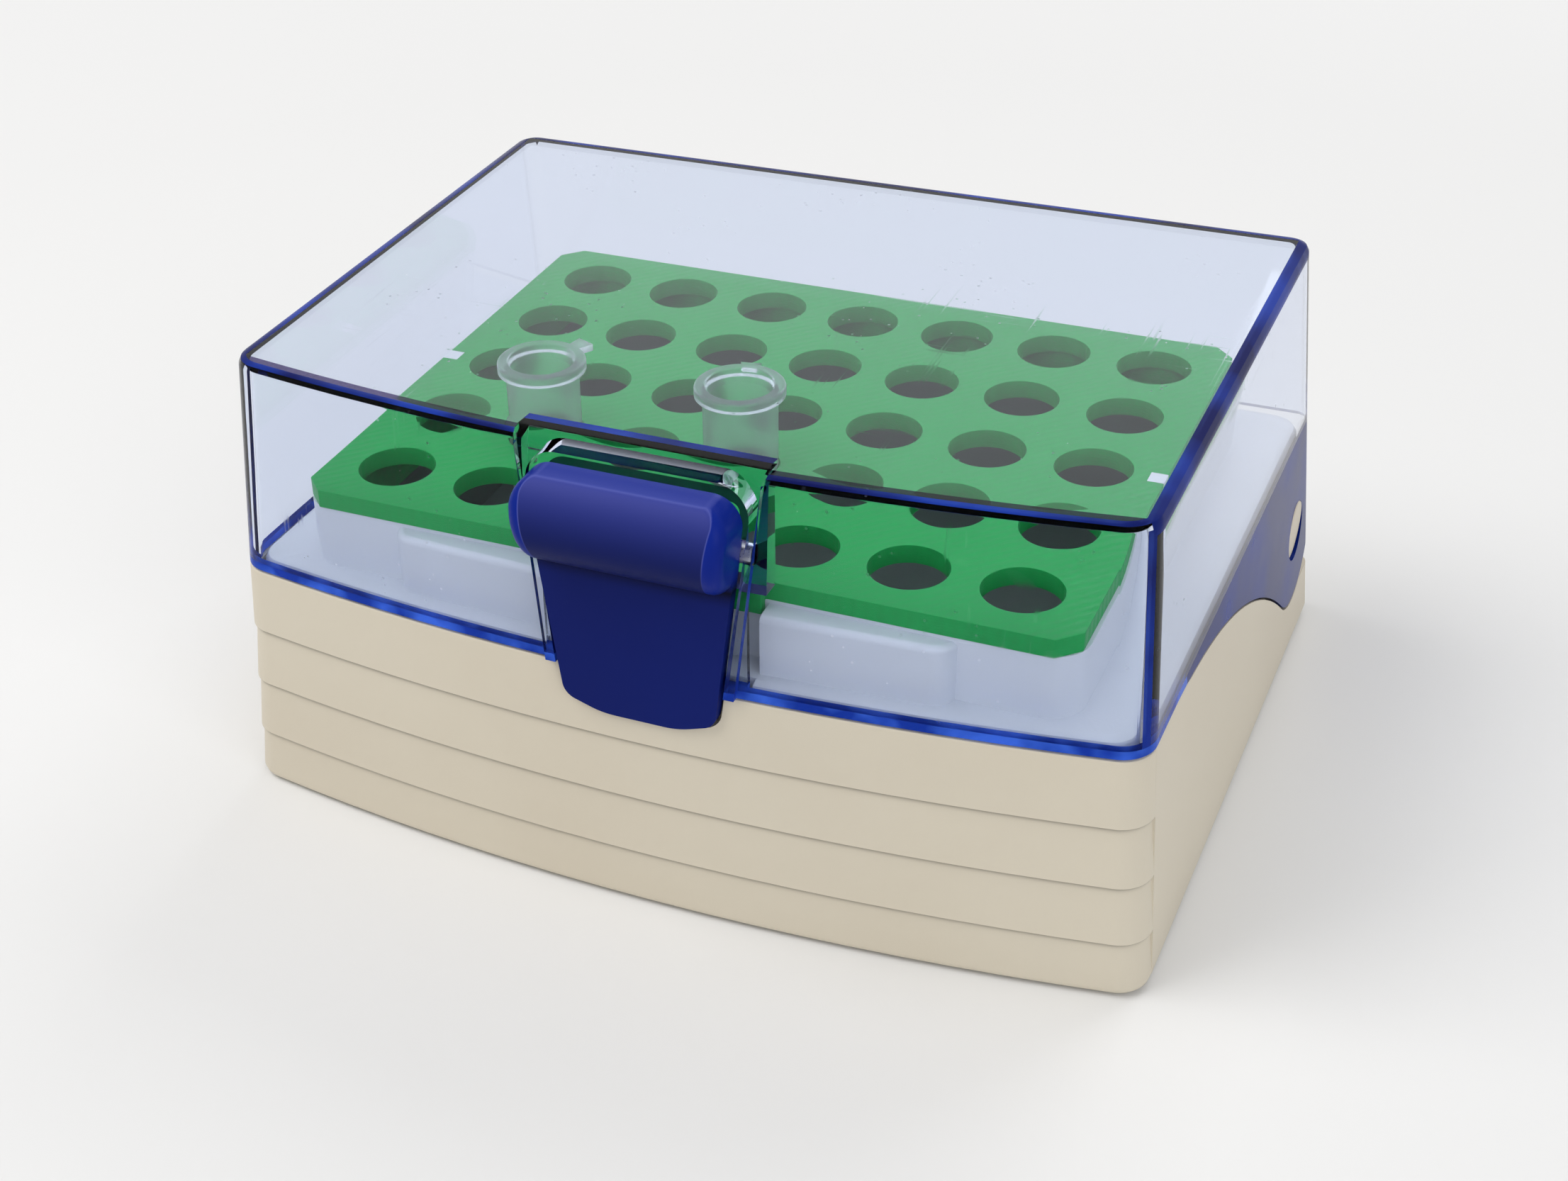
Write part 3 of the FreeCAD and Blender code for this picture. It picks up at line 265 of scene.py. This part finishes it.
def makeTrayPlastic():
    # pale, with the well under the rack plate in shade
    values = {
        "colour": (0.76, 0.785, 0.82), "dark": (0.73, 0.755, 0.795), "roughness": 0.42,
        "shade": (0.10, 0.135, 0.11), "amount": 0.93,
        "halfWidth": 55.7, "halfDepth": 41.0, "middle": -1.6, "mouth": 47.5, "floor": 40.0,
    }
    material, tree, shader, coords = mouldedPlastic("trayPlastic", values)
    across, depth, height = axesOf(tree, coords)
    across = mathNode(tree, "ABSOLUTE", across)
    depth = mathNode(tree, "ABSOLUTE", mathNode(tree, "SUBTRACT", depth, values["middle"] * mm))
    mask = combine(
        tree, "MULTIPLY",
        mathNode(tree, "LESS_THAN", across, values["halfWidth"] * mm),
        mathNode(tree, "LESS_THAN", depth, values["halfDepth"] * mm),
        rangeNode(tree, height, values["floor"] * mm, values["mouth"] * mm, values["amount"], 0.0),
    )
    layColour(tree, shader, mask, values["shade"])
    return material


def waveNode(tree, vector, direction, turns):
    # bands with so many radians to the metre
    waves = addNode(tree, "ShaderNodeTexWave", wave_type="BANDS", bands_direction=direction)
    waves.inputs["Scale"].default_value = turns / 6.283
    tree.links.new(vector, waves.inputs["Vector"])
    return waves


def makeRackPlastic():
    # laid lines of the printed plate, diagonal on its faces, and its layers
    values = {
        "colour": (0.014, 0.40, 0.085), "dark": (0.010, 0.33, 0.066), "specular": 0.3, "grain": 1800.0,
        "lines": 1400.0, "layers": 4200.0, "turn": 45, "waver": 0.6, "roughness": (0.38, 0.5),
        "mottleShare": 0.8, "lineShare": 0.25, "bump": 0.25, "bumpDepth": 0.05,
    }
    material, tree, shader, coords = newMaterial("rackPlastic")
    shader.inputs["Specular IOR Level"].default_value = values["specular"]
    texture = placeGroup(tree, "mouldGrain", coords, {"Grain Scale": values["grain"]})
    mapping = addNode(tree, "ShaderNodeMapping")
    mapping.inputs["Rotation"].default_value = (0.0, 0.0, math.radians(values["turn"]))
    tree.links.new(coords, mapping.inputs["Vector"])
    lines = waveNode(tree, mapping.outputs["Vector"], "X", values["lines"])
    lines.inputs["Distortion"].default_value = values["waver"]
    lines.inputs["Detail"].default_value = 1.0
    layers = waveNode(tree, coords, "Z", values["layers"])
    mottle = mathNode(tree, "MULTIPLY", texture.outputs["Mottle"], values["mottleShare"])
    stripes = mathNode(tree, "MULTIPLY", lines.outputs["Fac"], values["lineShare"])
    tone = mathNode(tree, "ADD", mottle, stripes, clamp=True)
    tree.links.new(mixColours(tree, tone, values["dark"], values["colour"]), shader.inputs["Base Color"])
    rough = rangeNode(tree, lines.outputs["Fac"], 0.0, 1.0, *values["roughness"])
    tree.links.new(rough, shader.inputs["Roughness"])
    height = mathNode(tree, "ADD", lines.outputs["Fac"], layers.outputs["Fac"])
    addBump(tree, shader, height, values["bump"], values["bumpDepth"] * mm)
    return material


def makeLatchPlastic():
    # painted sheen on the round face of the roll, lighter towards its top and darker towards its bottom, a
    # smooth darker band over it and on its ends, a painted highlight line between them and painted shade in
    # the corner under the roll
    values = {
        "flap": (0.0045, 0.0125, 0.135), "flapDark": (0.004, 0.0105, 0.115), "band": (0.004, 0.018, 0.23),
        "sheenLow": (0.0025, 0.008, 0.09), "sheenHigh": (0.045, 0.058, 0.30), "line": (0.09, 0.11, 0.40),
        "shade": (0.0006, 0.001, 0.010), "rollBottom": 55.8, "rollTop": 69.22, "endWidth": 2.2, "corner": 2.0,
        "taper": (34.1, 69.3, 11.3, 15.8), "sheenRange": (58.5, 69.6), "sheenFade": 2.4,
        "highlightWidth": 0.14, "highlightAmount": 0.7, "highlightRange": (58, 64), "highlightFaint": 0.1,
        "shadeReach": 2.6, "shadeFade": 1.4, "specular": 0.06, "grain": 2600.0,
        "roughness": (0.38, 0.46), "bandSmoother": 0.12, "bump": 0.1, "bumpDepth": 0.1,
    }
    material, tree, shader, coords = newMaterial("latchPlastic")
    shader.inputs["Specular IOR Level"].default_value = values["specular"]
    texture = placeGroup(tree, "mouldGrain", coords, {"Grain Scale": values["grain"]})
    mottle = texture.outputs["Mottle"]
    across, depth, height = axesOf(tree, coords)
    across = mathNode(tree, "ABSOLUTE", across)
    corner = values["corner"] * mm
    half = rangeNode(tree, height, *(number * mm for number in values["taper"]))
    inset = values["endWidth"] * mm + corner
    side = mathNode(tree, "ADD", mathNode(tree, "SUBTRACT", across, half), inset)
    side = mathNode(tree, "MAXIMUM", side, 0.0)
    over = excess(tree, height, values["rollTop"] * mm - corner)
    reach = hypotenuse(tree, side, over)
    onRoll = mathNode(tree, "GREATER_THAN", height, values["rollBottom"] * mm)
    outside = mathNode(tree, "GREATER_THAN", reach, corner)

    blend = rangeNode(tree, mottle, 0.35, 0.65)
    flap = mixColours(tree, blend, values["flapDark"], values["flap"])
    # painted sheen: the round face is lighter towards its top and darker towards its bottom
    climb = rangeNode(tree, height, *(number * mm for number in values["sheenRange"]))
    climb = mathNode(tree, "POWER", climb, values["sheenFade"])
    sheen = mixColours(tree, climb, values["sheenLow"], values["sheenHigh"])
    roll = mixColours(tree, outside, sheen, values["band"])
    # painted highlight line along the edge between the sheen and the band
    offLine = mathNode(tree, "ABSOLUTE", mathNode(tree, "SUBTRACT", reach, corner))
    edge = rangeNode(tree, offLine, 0.0, values["highlightWidth"] * mm, values["highlightAmount"], 0.0)
    highlightLow, highlightHigh = (number * mm for number in values["highlightRange"])
    fading = rangeNode(tree, height, highlightLow, highlightHigh, values["highlightFaint"], 1.0)
    roll = mixColours(tree, mathNode(tree, "MULTIPLY", edge, fading), roll, values["line"])
    tree.links.new(mixColours(tree, onRoll, flap, roll), shader.inputs["Base Color"])
    # painted shade in the corner under the roll
    near = mathNode(tree, "ABSOLUTE", mathNode(tree, "SUBTRACT", height, values["rollBottom"] * mm))
    shade = rangeNode(tree, near, 0.0, values["shadeReach"] * mm, 1.0, 0.0)
    layColour(tree, shader, mathNode(tree, "POWER", shade, values["shadeFade"]), values["shade"])

    rough = rangeNode(tree, mottle, 0.3, 0.7, *values["roughness"])
    smoother = mathNode(tree, "MULTIPLY", mathNode(tree, "MULTIPLY", onRoll, outside), values["bandSmoother"])
    tree.links.new(mathNode(tree, "SUBTRACT", rough, smoother), shader.inputs["Roughness"])
    addBump(tree, shader, texture.outputs["Height"], values["bump"], values["bumpDepth"] * mm)
    return material


def wornGlass(tree, shader, coords, tint):
    values = {
        "specks": {"Speck Scale": 700.0, "Speck Size": 0.14}, "scratches": {"Amount": 0.5},
        "marked": (0.93, 0.95, 1.0), "smooth": 0.015, "rough": 0.45,
    }
    specks = placeGroup(tree, "dustSpecks", coords, values["specks"])
    scratches = placeGroup(tree, "fineScratches", coords, values["scratches"])
    marks = mathNode(tree, "MAXIMUM", specks.outputs["Mask"], scratches.outputs["Mask"])
    rough = rangeNode(tree, marks, 0.0, 1.0, values["smooth"], values["rough"])
    tree.links.new(rough, shader.inputs["Roughness"])
    tree.links.new(mixColours(tree, marks, tint, values["marked"]), shader.inputs["Base Color"])


def makeLidPlastic(name, bend):
    # painted dark strip inside the bowed front edge of the top, for the dark reflection in that edge, and a
    # painted shade line on the back of the latch pocket, for the dark gap around the latch
    values = {
        "tint": (0.94, 0.965, 1.0), "absorb": (0.16, 0.32, 0.78), "density": 55.0,
        "purple": (0.02, 0.012, 0.06), "specularTint": (0.08, 0.08, 0.1),
        "top": 71.0, "bow": 400.0, "front": -51.8, "strip": 2.3, "hoodHalf": 17.7,
        "gapShadeHalf": 15.0, "gapShadeTop": 67.8, "gapShadeLow": 58.0, "turn": 3.4, "gapShadeWidth": 2.0,
        "gapShadeDepth": (-49.7, -48.7),
    }
    material, tree, shader, coords = newMaterial(name)
    shader.inputs["Transmission Weight"].default_value = 1.0
    shader.inputs["IOR"].default_value = bend
    shader.inputs["Specular Tint"].default_value = values["specularTint"] + (1,)
    wornGlass(tree, shader, coords, values["tint"])

    across, depth, height = axesOf(tree, coords)
    across = mathNode(tree, "ABSOLUTE", across)
    inward = mathNode(tree, "SUBTRACT", depth, (values["front"] + values["bow"]) * mm)
    inner = (values["bow"] - values["strip"]) * mm
    # painted dark reflection strip along the bowed front edge of the top
    strip = combine(
        tree, "MULTIPLY",
        mathNode(tree, "GREATER_THAN", hypotenuse(tree, across, inward), inner),
        mathNode(tree, "GREATER_THAN", height, values["top"] * mm),
        mathNode(tree, "GREATER_THAN", across, values["hoodHalf"] * mm),
    )
    # painted shade line on the back wall of the latch pocket, where the gap around the latch looks dark
    turn = values["turn"] * mm
    side = excess(tree, across, values["gapShadeHalf"] * mm - turn)
    over = excess(tree, height, values["gapShadeTop"] * mm - turn)
    ring = hypotenuse(tree, side, over)
    back, face = (number * mm for number in values["gapShadeDepth"])
    gapShade = combine(
        tree, "MULTIPLY",
        mathNode(tree, "LESS_THAN", ring, turn),
        mathNode(tree, "GREATER_THAN", ring, turn - values["gapShadeWidth"] * mm),
        mathNode(tree, "GREATER_THAN", depth, back),
        mathNode(tree, "LESS_THAN", depth, face),
        mathNode(tree, "GREATER_THAN", height, values["gapShadeLow"] * mm),
    )
    layColour(tree, shader, mathNode(tree, "MAXIMUM", strip, gapShade), values["purple"])
    absorb = addNode(tree, "ShaderNodeVolumeAbsorption")
    absorb.inputs["Color"].default_value = values["absorb"] + (1,)
    absorb.inputs["Density"].default_value = values["density"]
    tree.links.new(absorb.outputs["Volume"], tree.nodes["Material Output"].inputs["Volume"])
    return material


def makeBluePlastic(name, values):
    # edges and thick parts of the lid, where its blue gathers
    shared = {"bend": 1.25, "specular": 0.1, "specularTint": (0.3, 0.3, 0.4), "roughness": (0.12, 0.22)}
    material, tree, shader, coords = newMaterial(name)
    shader.inputs["Transmission Weight"].default_value = values["through"]
    shader.inputs["IOR"].default_value = shared["bend"]
    shader.inputs["Specular IOR Level"].default_value = shared["specular"]
    shader.inputs["Specular Tint"].default_value = shared["specularTint"] + (1,)
    shade = noiseNode(tree, coords, values["noise"], detail=2.0, roughness=0.5)
    blend = rangeNode(tree, shade, *values["blend"])
    tree.links.new(mixColours(tree, blend, values["deep"], values["bright"]), shader.inputs["Base Color"])
    tree.links.new(rangeNode(tree, shade, 0.3, 0.7, *shared["roughness"]), shader.inputs["Roughness"])
    return material


def makeTubePlastic():
    values = {
        "light": (0.92, 0.97, 0.95), "dark": (0.87, 0.94, 0.92), "through": 0.9, "bend": 1.25,
        "grain": 400.0, "roughness": (0.28, 0.36),
    }
    material, tree, shader, coords = newMaterial("tubePlastic")
    mottle = placeGroup(tree, "mouldGrain", coords, {"Grain Scale": values["grain"]}).outputs["Mottle"]
    shader.inputs["Transmission Weight"].default_value = values["through"]
    shader.inputs["IOR"].default_value = values["bend"]
    blend = rangeNode(tree, mottle, 0.3, 0.7)
    tree.links.new(mixColours(tree, blend, values["dark"], values["light"]), shader.inputs["Base Color"])
    rough = rangeNode(tree, mottle, 0.3, 0.7, *values["roughness"])
    tree.links.new(rough, shader.inputs["Roughness"])
    return material


def makeSteel(name, values):
    shared = {"grain": 4000.0, "roughness": (0.25, 0.42)}
    material, tree, shader, coords = newMaterial(name)
    texture = placeGroup(tree, "mouldGrain", coords, {"Grain Scale": shared["grain"]})
    colour = mixColours(tree, texture.outputs["Mottle"], values["dark"], values["light"])
    tree.links.new(colour, shader.inputs["Base Color"])
    shader.inputs["Metallic"].default_value = 1.0
    rough = rangeNode(tree, texture.outputs["Height"], 0.3, 0.7, *shared["roughness"])
    tree.links.new(rough, shader.inputs["Roughness"])
    return material


mouldings = {
    "markPlastic": {"colour": (0.82, 0.85, 0.85), "dark": (0.76, 0.79, 0.8), "roughness": 0.5},
    "coolantFilm": {"colour": (0.4, 0.55, 0.75), "dark": (0.36, 0.5, 0.7), "roughness": 0.35},
    "footRubber": {
        "colour": (0.02, 0.02, 0.022), "dark": (0.012, 0.012, 0.013), "roughness": 0.75,
        "grain": 1500.0, "bump": 0.3, "specular": 0.3,
    },
}
blues = {
    "lidEdge": {
        "deep": (0.006, 0.010, 0.10), "bright": (0.014, 0.045, 0.36),
        "through": 0.15, "noise": 60.0, "blend": (0.38, 0.62),
    },
    "lidRim": {
        "deep": (0.012, 0.05, 0.42), "bright": (0.06, 0.18, 0.85),
        "through": 0.3, "noise": 160.0, "blend": (0.4, 0.62),
    },
    "earPlastic": {
        "deep": (0.003, 0.013, 0.14), "bright": (0.008, 0.035, 0.30),
        "through": 0.12, "noise": 60.0, "blend": (0.4, 0.75),
    },
    "pocketShade": {
        "deep": (0.008, 0.006, 0.03), "bright": (0.02, 0.014, 0.06),
        "through": 0.1, "noise": 80.0, "blend": (0.4, 0.6),
    },
}
steels = {
    "screwSteel": {"dark": (0.5, 0.51, 0.53), "light": (0.62, 0.63, 0.65)},
    "axleSteel": {"dark": (0.42, 0.44, 0.47), "light": (0.55, 0.57, 0.6)},
}
lidBends = {"lidPlastic": 1.33, "hoodPlastic": 1.14}

finishes = {
    "casingPlastic": makeCasingPlastic(), "trayPlastic": makeTrayPlastic(), "rackPlastic": makeRackPlastic(),
    "latchPlastic": makeLatchPlastic(), "tubePlastic": makeTubePlastic(),
}
for name, values in mouldings.items():
    finishes[name] = mouldedPlastic(name, values)[0]
for name, values in blues.items():
    finishes[name] = makeBluePlastic(name, values)
for name, values in steels.items():
    finishes[name] = makeSteel(name, values)
for name, bend in lidBends.items():
    finishes[name] = makeLidPlastic(name, bend)
print("materials ready:", len(finishes))

byFinish = {
    "casingPlastic": ("outer_casing", "bottom_cover", "hinge_pin_left", "hinge_pin_right"),
    "coolantFilm": ("coolant_block",),
    "trayPlastic": ("inner_tray",),
    "rackPlastic": ("rack_plate",),
    "markPlastic": ("mark_left", "mark_right"),
    "tubePlastic": ("tube_1", "tube_2"),
    "lidPlastic": ("lid",),
    "latchPlastic": ("latch",),
    "axleSteel": ("latch_axle",),
    "footRubber": ("foot_1", "foot_2", "foot_3", "foot_4"),
    "screwSteel": ("base_screw_1", "base_screw_2", "base_screw_3", "base_screw_4"),
}
for finish, names in byFinish.items():
    for name in names:
        finishMaterial(nodes[name], finishes[finish])


# softened copies of the shells that show

softened = {
    "casingShell": {"node": "outer_casing", "body": "base", "slot": "casing_plastic", "bevel": 0.14},
    "trayShell": {"node": "inner_tray", "body": "base", "slot": "tray_plastic", "bevel": 0.35},
    "rackShell": {"node": "rack_plate", "body": "base", "slot": "rack_plastic", "bevel": 0.25},
    "lidShell": {"node": "lid", "body": "lid", "slot": "lid_plastic", "bevel": 0.3},
    "latchShell": {"node": "latch", "body": "latch", "slot": "latch_plastic", "bevel": 0.15},
}


def softenedCopy(name, values):
    source = nodes[values["node"]]
    piece = bpy.data.objects.new(name, source.data.copy())
    bpy.context.scene.collection.objects.link(piece)
    activate(piece)
    bpy.ops.object.mode_set(mode="EDIT")
    bpy.ops.mesh.select_all(action="SELECT")
    bpy.ops.mesh.remove_doubles(threshold=0.008 * mm)
    bpy.ops.object.mode_set(mode="OBJECT")
    bpy.ops.mesh.customdata_custom_splitnormals_clear()
    bevel = piece.modifiers.new("edges", "BEVEL")
    bevel.width = values["bevel"] * mm
    bevel.segments = 2
    bevel.limit_method = "ANGLE"
    bevel.angle_limit = math.radians(32)
    bpy.ops.object.modifier_apply(modifier="edges")
    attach(piece, values["body"])
    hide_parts(values["node"])
    return piece


def smoothNormals(piece):
    activate(piece)
    bpy.ops.object.shade_smooth_by_angle(angle=math.radians(35))
    weighted = piece.modifiers.new("flats", "WEIGHTED_NORMAL")
    weighted.keep_sharp = True
    weighted.mode = "FACE_AREA_WITH_ANGLE"
    weighted.weight = 90
    bpy.ops.object.modifier_apply(modifier="flats")


shells = {name: softenedCopy(name, values) for name, values in softened.items()}


# finishes laid on by face

def paintFaces(piece, material, chosen):
    piece.data.materials.append(material)
    slot = len(piece.data.materials) - 1
    count = 0
    for face in piece.data.polygons:
        if chosen(face.center, face.normal):
            face.material_index = slot
            count += 1
    print(piece.name, material.name, count, "faces")


def cutWhere(piece, chosen, place, normal):
    activate(piece)
    bpy.ops.object.mode_set(mode="EDIT")
    bpy.ops.mesh.select_mode(type="FACE")
    bpy.ops.mesh.select_all(action="DESELECT")
    bpy.ops.object.mode_set(mode="OBJECT")
    for face in piece.data.polygons:
        face.select = chosen(face.center, face.normal)
    bpy.ops.object.mode_set(mode="EDIT")
    bpy.ops.mesh.bisect(plane_co=place, plane_no=normal)
    bpy.ops.object.mode_set(mode="OBJECT")


def finishLid():
    # the faces where the blue gathers: rim, ears, edges of the top, front corners and latch frame
    values = {
        "rimDrop": 10.8, "rimBand": 1.2, "earFront": -30.0, "mainFront": -30.0, "outer": 3.2,
        "sideStrip": 0.6, "rearStrip": 0.7, "wallStrip": 2.1, "wallHalf": 60.0, "wallDepth": 40.0,
        "frameHalf": 17.7, "frameInner": 13.0, "frameFront": -52.2, "beside": 1.0,
        "hoodLow": 53.0, "hoodRear": -46.9, "hoodTop": 0.8, "hoodEdge": -48.9, "hoodEdgeTop": 1.6,
        "hoodEdgeRear": -45.0, "pocketHigh": 58.0, "innerDrop": 1.5, "near": 0.02, "level": 0.1,
    }
    size = {key: value * mm for key, value in values.items()}
    flat, edgeTilt, lidTilt = 0.97, 0.12, (0.72, 0.93)
    lid = shells["lidShell"]
    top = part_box("lid")[1].z
    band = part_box("inner_tray")[1].z - size["rimDrop"] + size["rimBand"]
    outer = top - size["outer"]
    frameHalf = size["frameHalf"]
    cutWhere(lid, lambda centre, normal: True, (0, 0, band), (0, 0, 1))

    def onHoodTop(centre, normal):
        return normal.z > 0.9 and centre.z > top - size["hoodTop"] and abs(centre.x) < frameHalf

    cutWhere(lid, onHoodTop, (0, size["hoodEdge"], 0), (0, 1, 0))
    mainTop = max(v.co.z for v in lid.data.vertices if v.co.y > size["mainFront"])
    corners = [v.co for v in lid.data.vertices if abs(v.co.z - mainTop) < size["near"]]
    side = min(c.x for c in corners) + size["sideStrip"]
    rear = max(c.y for c in corners) - size["rearStrip"]
    wallLow = mainTop - size["wallStrip"]

    def onTop(centre, normal):
        return normal.z > flat and abs(centre.z - mainTop) < size["level"]

    for place, direction in (((side, 0, 0), (1, 0, 0)), ((-side, 0, 0), (1, 0, 0)), ((0, rear, 0), (0, 1, 0))):
        cutWhere(lid, onTop, place, direction)

    def onWall(centre, normal):
        outward = normal.x * centre.x > 0.8 * abs(centre.x) and abs(centre.x) > size["wallHalf"]
        return centre.z > mainTop - size["wallDepth"] and outward and abs(centre.y) < size["wallHalf"]

    cutWhere(lid, onWall, (0, 0, wallLow), (0, 0, 1))

    def onWallStrip(centre, normal):
        return onWall(centre, normal) and centre.z > wallLow

    def onTopStrip(centre, normal):
        return onTop(centre, normal) and (abs(centre.x) > -side or centre.y > rear)

    def onTopEdge(centre, normal):
        crease = normal.y < -0.5 and normal.z < 0.6
        tilted = edgeTilt < normal.z < flat
        return centre.z > outer and tilted and abs(centre.x) > frameHalf and not crease

    def onInnerEdge(centre, normal):
        tilted = -flat < normal.z < -edgeTilt
        return centre.z > outer - size["innerDrop"] and tilted and abs(centre.x) > frameHalf + size["beside"]

    def onCorner(centre, normal):
        lean = abs(normal.z) < 0.3 and lidTilt[0] < abs(normal.x) < lidTilt[1] and normal.y < 0
        outward = abs(centre.x) > size["wallHalf"] and normal.x * centre.x > 0
        return lean and outward and band < centre.z < outer

    def onFrameSide(centre, normal):
        beside = size["frameInner"] < abs(centre.x) < frameHalf + size["beside"]
        return abs(normal.x) > 0.8 and beside and centre.y < size["frameFront"]

    def onFrameBack(centre, normal):
        back = centre.z > top - size["hoodEdgeTop"] and size["hoodEdge"] < centre.y < size["hoodEdgeRear"]
        return back and abs(centre.x) < frameHalf and normal.z > 0.5

    def onRim(centre, normal):
        return centre.z < band and centre.y < size["earFront"]

    def onEar(centre, normal):
        return centre.z < band and centre.y >= size["earFront"]

    def onPocketFloor(centre, normal):
        between = size["hoodLow"] < centre.z < size["pocketHigh"]
        return abs(normal.z) > 0.9 and between and abs(centre.x) < frameHalf

    def onHood(centre, normal):
        return abs(centre.x) < frameHalf and centre.y < size["hoodRear"] and centre.z > size["hoodLow"]

    for finish, chosen in (
        ("hoodPlastic", onHood), ("lidEdge", onTopEdge), ("lidEdge", onInnerEdge), ("lidEdge", onCorner),
        ("lidEdge", onFrameSide), ("lidEdge", onTopStrip), ("lidEdge", onWallStrip), ("lidEdge", onFrameBack),
        ("lidRim", onRim), ("earPlastic", onEar), ("pocketShade", onPocketFloor),
    ):
        paintFaces(lid, finishes[finish], chosen)


finishLid()
for name, piece in shells.items():
    smoothNormals(piece)
    check = bmesh.new()
    check.from_mesh(piece.data)
    print(name, len(check.faces), "faces, open edges", sum(len(e.link_faces) != 2 for e in check.edges))
    check.free()


# floor, lights, camera

def seenRays(tree):
    path = addNode(tree, "ShaderNodeLightPath")
    rays = (path.outputs[kind] for kind in ("Is Camera Ray", "Is Glossy Ray", "Is Transmission Ray"))
    return combine(tree, "MAXIMUM", *rays)


def makeFloor():
    # turns white away from the object, so it has no horizon
    values = {
        "size": 4.0, "colour": (0.80, 0.80, 0.80), "roughness": 0.6, "specular": 0.2, "near": 0.3, "far": 0.95,
    }
    bpy.ops.object.select_all(action="DESELECT")
    bpy.ops.mesh.primitive_plane_add(size=values["size"], location=(0, 0, 0))
    floor = bpy.context.object
    floor.name = "floor"
    material, tree, shader, coords = newMaterial("floorPaint")
    shader.inputs["Base Color"].default_value = values["colour"] + (1,)
    shader.inputs["Roughness"].default_value = values["roughness"]
    shader.inputs["Specular IOR Level"].default_value = values["specular"]
    reach = addNode(tree, "ShaderNodeVectorMath", operation="LENGTH")
    tree.links.new(coords, reach.inputs[0])
    away = rangeNode(tree, reach.outputs["Value"], values["near"], values["far"])
    glow = addNode(tree, "ShaderNodeEmission")
    mixed = addNode(tree, "ShaderNodeMixShader")
    tree.links.new(mathNode(tree, "MULTIPLY", away, seenRays(tree)), mixed.inputs[0])
    tree.links.new(shader.outputs["BSDF"], mixed.inputs[1])
    tree.links.new(glow.outputs["Emission"], mixed.inputs[2])
    tree.links.new(mixed.outputs["Shader"], tree.nodes["Material Output"].inputs["Surface"])
    finishMaterial(floor, material)


def makeLamps():
    lamps = {
        "keyLamp": {"place": (-0.55, -0.35, 0.95), "size": 0.7, "power": 7.0, "colour": (1, 0.985, 0.96)},
        "fillLamp": {"place": (0.8, -0.7, 0.7), "size": 0.9, "power": 4.5, "colour": (0.97, 0.985, 1)},
        "backLamp": {"place": (0.2, 0.9, 0.9), "size": 0.8, "power": 5.0, "colour": (1, 1, 1)},
    }
    target = Vector((0, 0, 0.03))
    for name, lamp in lamps.items():
        data = bpy.data.lights.new(name, "AREA")
        data.size = lamp["size"]
        data.energy = lamp["power"]
        data.color = lamp["colour"]
        thing = bpy.data.objects.new(name, data)
        bpy.context.scene.collection.objects.link(thing)
        thing.location = lamp["place"]
        thing.rotation_euler = (target - thing.location).to_track_quat("-Z", "Y").to_euler()
        thing.visible_glossy = name != "backLamp"


def makeWorld():
    # plain soft light on the object, white where it is seen
    values = {"light": 0.42, "seen": 1.0}
    world = bpy.data.worlds.new("studio")
    bpy.context.scene.world = world
    world.use_nodes = True
    tree = world.node_tree
    background = tree.nodes["Background"]
    background.inputs["Color"].default_value = (1, 1, 1, 1)
    strength = rangeNode(tree, seenRays(tree), 0.0, 1.0, values["light"], values["seen"])
    tree.links.new(strength, background.inputs["Strength"])


def makeCamera():
    values = {
        "place": (0.11181, -0.27763, 0.20731), "turn": (53.55, 2.21, 24.69), "sensor": 36.0, "lens": 51.13,
        "shift": (0.084, 0.116), "clip": 0.01,
    }
    data = bpy.data.cameras.new("viewCamera")
    camera = bpy.data.objects.new("viewCamera", data)
    bpy.context.scene.collection.objects.link(camera)
    camera.location = values["place"]
    camera.rotation_euler = [math.radians(a) for a in values["turn"]]
    data.sensor_width = values["sensor"]
    data.lens = values["lens"]
    data.shift_x, data.shift_y = values["shift"]
    data.clip_start = values["clip"]
    bpy.context.scene.camera = camera


makeFloor()
makeLamps()
makeWorld()
makeCamera()
bpy.context.scene.view_settings.view_transform = "Standard"
print("stage and camera ready")
